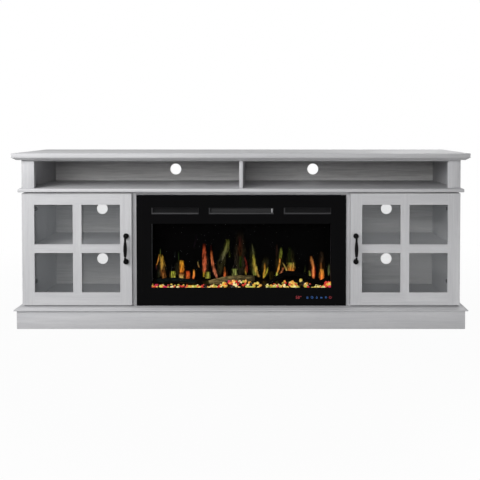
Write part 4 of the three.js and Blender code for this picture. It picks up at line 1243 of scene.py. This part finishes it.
# Projected flame: light alone, brightest along each tongue's spine, fading to its rims and tip
def flameMaterial():
    material, tree, shader, place = startMaterial("projected flame light")
    along = addNode(tree, "ShaderNodeUVMap", uv_map="tongue")
    split = addNode(tree, "ShaderNodeSeparateXYZ", {0: along})
    tone = addNode(tree, "ShaderNodeAttribute", attribute_name="flameTone", attribute_type="GEOMETRY")
    fromSpine = addNode(tree, "ShaderNodeMath", {0: split.outputs["X"], 1: 0.5}, operation="SUBTRACT")
    away = addNode(tree, "ShaderNodeMath", {0: fromSpine}, operation="ABSOLUTE")
    patterns = []
    for width, height, shift, roughness, distortion in (flames["licks"], flames["streaks"]):
        drawn = addNode(tree, "ShaderNodeMapping", {
            "Vector": place, "Scale": (1 / width, 1.0, 1 / height), "Location": shift})
        patterns.append(addNode(tree, "ShaderNodeTexNoise", {
            "Vector": drawn, "Scale": 1.0, "Detail": 3.0, "Roughness": roughness,
            "Distortion": distortion}))
    licks, streaks = patterns
    wander = addNode(tree, "ShaderNodeMath", {0: licks, 1: flames["wander"]}, operation="MULTIPLY")
    heat = addNode(tree, "ShaderNodeMapRange", {
        "Value": streaks, "From Min": 0.36, "From Max": 0.64, "To Min": 0.12, "To Max": 1.35})
    reach = addNode(tree, "ShaderNodeMath", {0: away, 1: wander}, operation="ADD")
    body = addNode(tree, "ShaderNodeMapRange", {
        "Value": reach, "From Min": 0.46, "From Max": 0.84, "To Min": 1.0, "To Max": 0.0},
        interpolation_type="SMOOTHSTEP")
    tip = addNode(tree, "ShaderNodeMapRange", {
        "Value": split.outputs["Y"], "From Min": 0.66, "From Max": 1.0, "To Min": 1.0, "To Max": 0.0},
        interpolation_type="SMOOTHSTEP")
    root = addNode(tree, "ShaderNodeMapRange", {
        "Value": split.outputs["Y"], "From Min": 0.0, "From Max": 0.14, "To Min": 0.0, "To Max": 1.0})
    faded = addNode(tree, "ShaderNodeMath", {0: body, 1: tip}, operation="MULTIPLY")
    mask = addNode(tree, "ShaderNodeMath", {0: faded, 1: root}, operation="MULTIPLY")
    setInputs(tree, shader, {
        "Base Color": (0, 0, 0, 1), "Roughness": 1.0, "Specular IOR Level": 0.0, "Alpha": mask,
        "Emission Color": tone, "Emission Strength": heat})
    return material


def buildFlames():
    f = flames
    openAtFoot, openSpeed = f["opening"]
    shape = bmesh.new()
    tone = shape.verts.layers.float_color.new("flameTone")
    uv = shape.loops.layers.uv.new("tongue")
    for index, tongue in enumerate(f["tongues"]):
        baseX, baseZ, tipX, tipZ, width, bow, lowColour, highColour, strength = tongue
        y = f["front"] - f["spread"] * index / len(f["tongues"])
        haze = width > f["hazeWidth"]
        blunt = 0 if haze else min(1, f["bluntness"] * width / (tipZ - baseZ))
        strength *= f["hazeGlow"] if haze else 1
        lowTone, highTone = Vector(toLinear(lowColour)), Vector(toLinear(highColour))
        made = bmesh.ops.create_grid(
            shape, x_segments=f["across"], y_segments=f["along"], size=0.5)["verts"]
        places = {}
        for vert in made:
            u, v = vert.co.x + 0.5, vert.co.y + 0.5
            spineX = baseX + (tipX - baseX) * v + bow * math.sin(v * math.pi)
            opened = math.sin(min(v * openSpeed + openAtFoot, 1) * math.pi / 2)
            swell = f["foot"] + (1 - f["foot"]) * opened
            swell += (1 - swell) * blunt
            upper = max(0, (v - f["taperFrom"]) / (1 - f["taperFrom"]))
            half = width * swell * (1 - f["taper"] * (1 - blunt) * upper)
            vert.co = Vector((spineX + (u - 0.5) * half, y, windowLow + baseZ + (tipZ - baseZ) * v))
            colour = lowTone.lerp(highTone, v) * strength
            colour.z *= f["blueShare"]
            vert[tone] = (*colour[:3], 1)
            places[vert] = (u, blunt * f["blockFoot"] + v * (1 - blunt * f["blockLoss"]))
        for face in {around for vert in made for around in vert.link_faces}:
            for loop in face.loops:
                loop[uv].uv = places[loop.vert]
    bmesh.ops.recalc_face_normals(shape, faces=shape.faces)
    addPiece("flame_light", shape, "case", [flameMaterial()])


buildFlames()
print("the fire is laid")


controls = {
    "drop": 0.0425,  # from the window's sill to the row of symbols
    "proud": 0.00012,
    "thickness": 0.0001,
    "digitLeft": 0.2425,
    "digitHeight": 0.0105,
    "digitWidth": 0.0058,
    "digitGap": 0.0032,
    "bar": 0.0013,
    "degreeRadius": 0.0014,
    "degreeDrop": 0.0012,  # from the digits' top
    "iconRadius": 0.0047,
    "line": 0.0011,
    "ringPieces": 14,
    "ringOverlap": 1.1,
    "blue": {"heat": 0.2892, "clock": 0.3095, "flame": 0.3302, "bed": 0.3502, "lamp": 0.3702},
    "red": {"power": 0.3892},
    "speckle": 0.0025,  # size of the brighter and dimmer spots in a lit symbol
    "dimmest": 0.7,
    "maskTone": "0D0D0D",
    "redLight": ("C02A38", 0.9),
    "blueLight": ("2C6FC4", 0.8),
}

# Each symbol's strokes, in shares of its radius: bars are (across, up, width, height, degrees), where a 0
# stands for the width of the line, rings are (across, up, radius, share drawn, degrees of its start), and
# rays are (count, distance, width in lines, length)
symbols = {
    "heat": {"bars": [(-0.6, 0, 0, 1.5, 0), (0, 0, 0, 1.5, 0), (0.6, 0, 0, 1.5, 0), (0, -0.95, 1.7, 0, 0)]},
    "clock": {"bars": [(0, 0.3, 0, 0.6, 0), (0.25, 0, 0.5, 0, 0)], "rings": [(0, 0, 1, 1, 0)]},
    "flame": {
        "bars": [(-0.42, 0.25, 0, 1.5, 24), (0.42, 0.25, 0, 1.5, -24)],
        "rings": [(0, -0.45, 0.55, 0.6, 170)]},
    "bed": {
        "bars": [(0, 0.3, 1.5, 0, 0)],
        "rings": [(-0.6, -0.4, 0.3, 1, 0), (0, -0.4, 0.3, 1, 0), (0.6, -0.4, 0.3, 1, 0)]},
    "lamp": {"rings": [(0, 0, 0.45, 1, 0)], "rays": (8, 0.85, 0.8, 0.35)},
    "power": {"bars": [(0, 0.7, 0, 1.1, 0)], "rings": [(0, 0, 1, 0.8, 130)]},
}

rowZ = windowLow - controls["drop"]
digitBars = {"6": "acdefg", "8": "abcdefg"}


# Printed symbols lit from behind: flat colour light through a mask in the glass
def litPrint(name, colour, strength):
    material, tree, shader, place = startMaterial(name)
    uneven = addNode(tree, "ShaderNodeTexNoise", {
        "Vector": place, "Scale": 1 / controls["speckle"], "Detail": 1.0})
    bright = toLinear(colour)
    dim = [channel * controls["dimmest"] for channel in bright[:3]] + [1.0]
    tone = addNode(tree, "ShaderNodeMix", {0: uneven, 6: bright, 7: dim}, data_type="RGBA").outputs[2]
    setInputs(tree, shader, {
        "Base Color": toLinear(controls["maskTone"]), "Roughness": 0.3, "Emission Color": tone,
        "Emission Strength": strength})
    return material


def addBar(shape, x, z, width, height, turn=0.0):
    place = (x, glassFront - controls["proud"], z)
    addBox(shape, place, (width, controls["thickness"], height), Matrix.Rotation(turn, 4, "Y"))


def addRing(shape, x, z, radius, share=1.0, start=0.0):
    pieces = controls["ringPieces"]
    length = math.tau * radius / pieces * controls["ringOverlap"]
    for index in range(int(pieces * share)):
        angle = start + math.tau * index / pieces
        place = (x + radius * math.cos(angle), z + radius * math.sin(angle))
        addBar(shape, *place, controls["line"], length, -angle)


def addSymbol(shape, name, x):
    r, line = controls["iconRadius"], controls["line"]
    strokes = symbols[name]
    for across, up, width, height, turn in strokes.get("bars", ()):
        size = (width * r or line, height * r or line)
        addBar(shape, x + across * r, rowZ + up * r, *size, math.radians(turn))
    for across, up, radius, share, start in strokes.get("rings", ()):
        addRing(shape, x + across * r, rowZ + up * r, radius * r, share, math.radians(start))
    count, distance, width, length = strokes.get("rays", (0, 0, 0, 0))
    for index in range(count):
        angle = math.tau * index / count
        place = (x + distance * r * math.cos(angle), rowZ + distance * r * math.sin(angle))
        addBar(shape, *place, line * width, r * length, math.pi / 2 - angle)


def addDigit(shape, figure, x, z):
    w, h, bar = controls["digitWidth"], controls["digitHeight"], controls["bar"]
    spots = {
        "a": (0, h / 2, w - bar, bar), "g": (0, 0, w - bar, bar), "d": (0, -h / 2, w - bar, bar),
        "b": (w / 2, h / 4, bar, h / 2 - bar), "c": (w / 2, -h / 4, bar, h / 2 - bar),
        "e": (-w / 2, -h / 4, bar, h / 2 - bar), "f": (-w / 2, h / 4, bar, h / 2 - bar)}
    for name in digitBars[figure]:
        dx, dz, width, height = spots[name]
        addBar(shape, x + dx, z + dz, width, height)


def buildControls():
    c = controls
    red = bmesh.new()
    x = c["digitLeft"]
    for figure in "68":
        addDigit(red, figure, x, rowZ)
        x += c["digitWidth"] + c["digitGap"]
    addRing(red, x, rowZ + c["digitHeight"] / 2 - c["degreeDrop"], c["degreeRadius"])
    for name, place in c["red"].items():
        addSymbol(red, name, place)
    redPrint = litPrint("backlit print, red", *c["redLight"])
    addPiece("display_red", red, "case", [redPrint])

    blue = bmesh.new()
    for name, place in c["blue"].items():
        addSymbol(blue, name, place)
    bluePrint = litPrint("backlit print, blue", *c["blueLight"])
    addPiece("display_blue", blue, "case", [bluePrint])


buildControls()
print("the controls are lit")
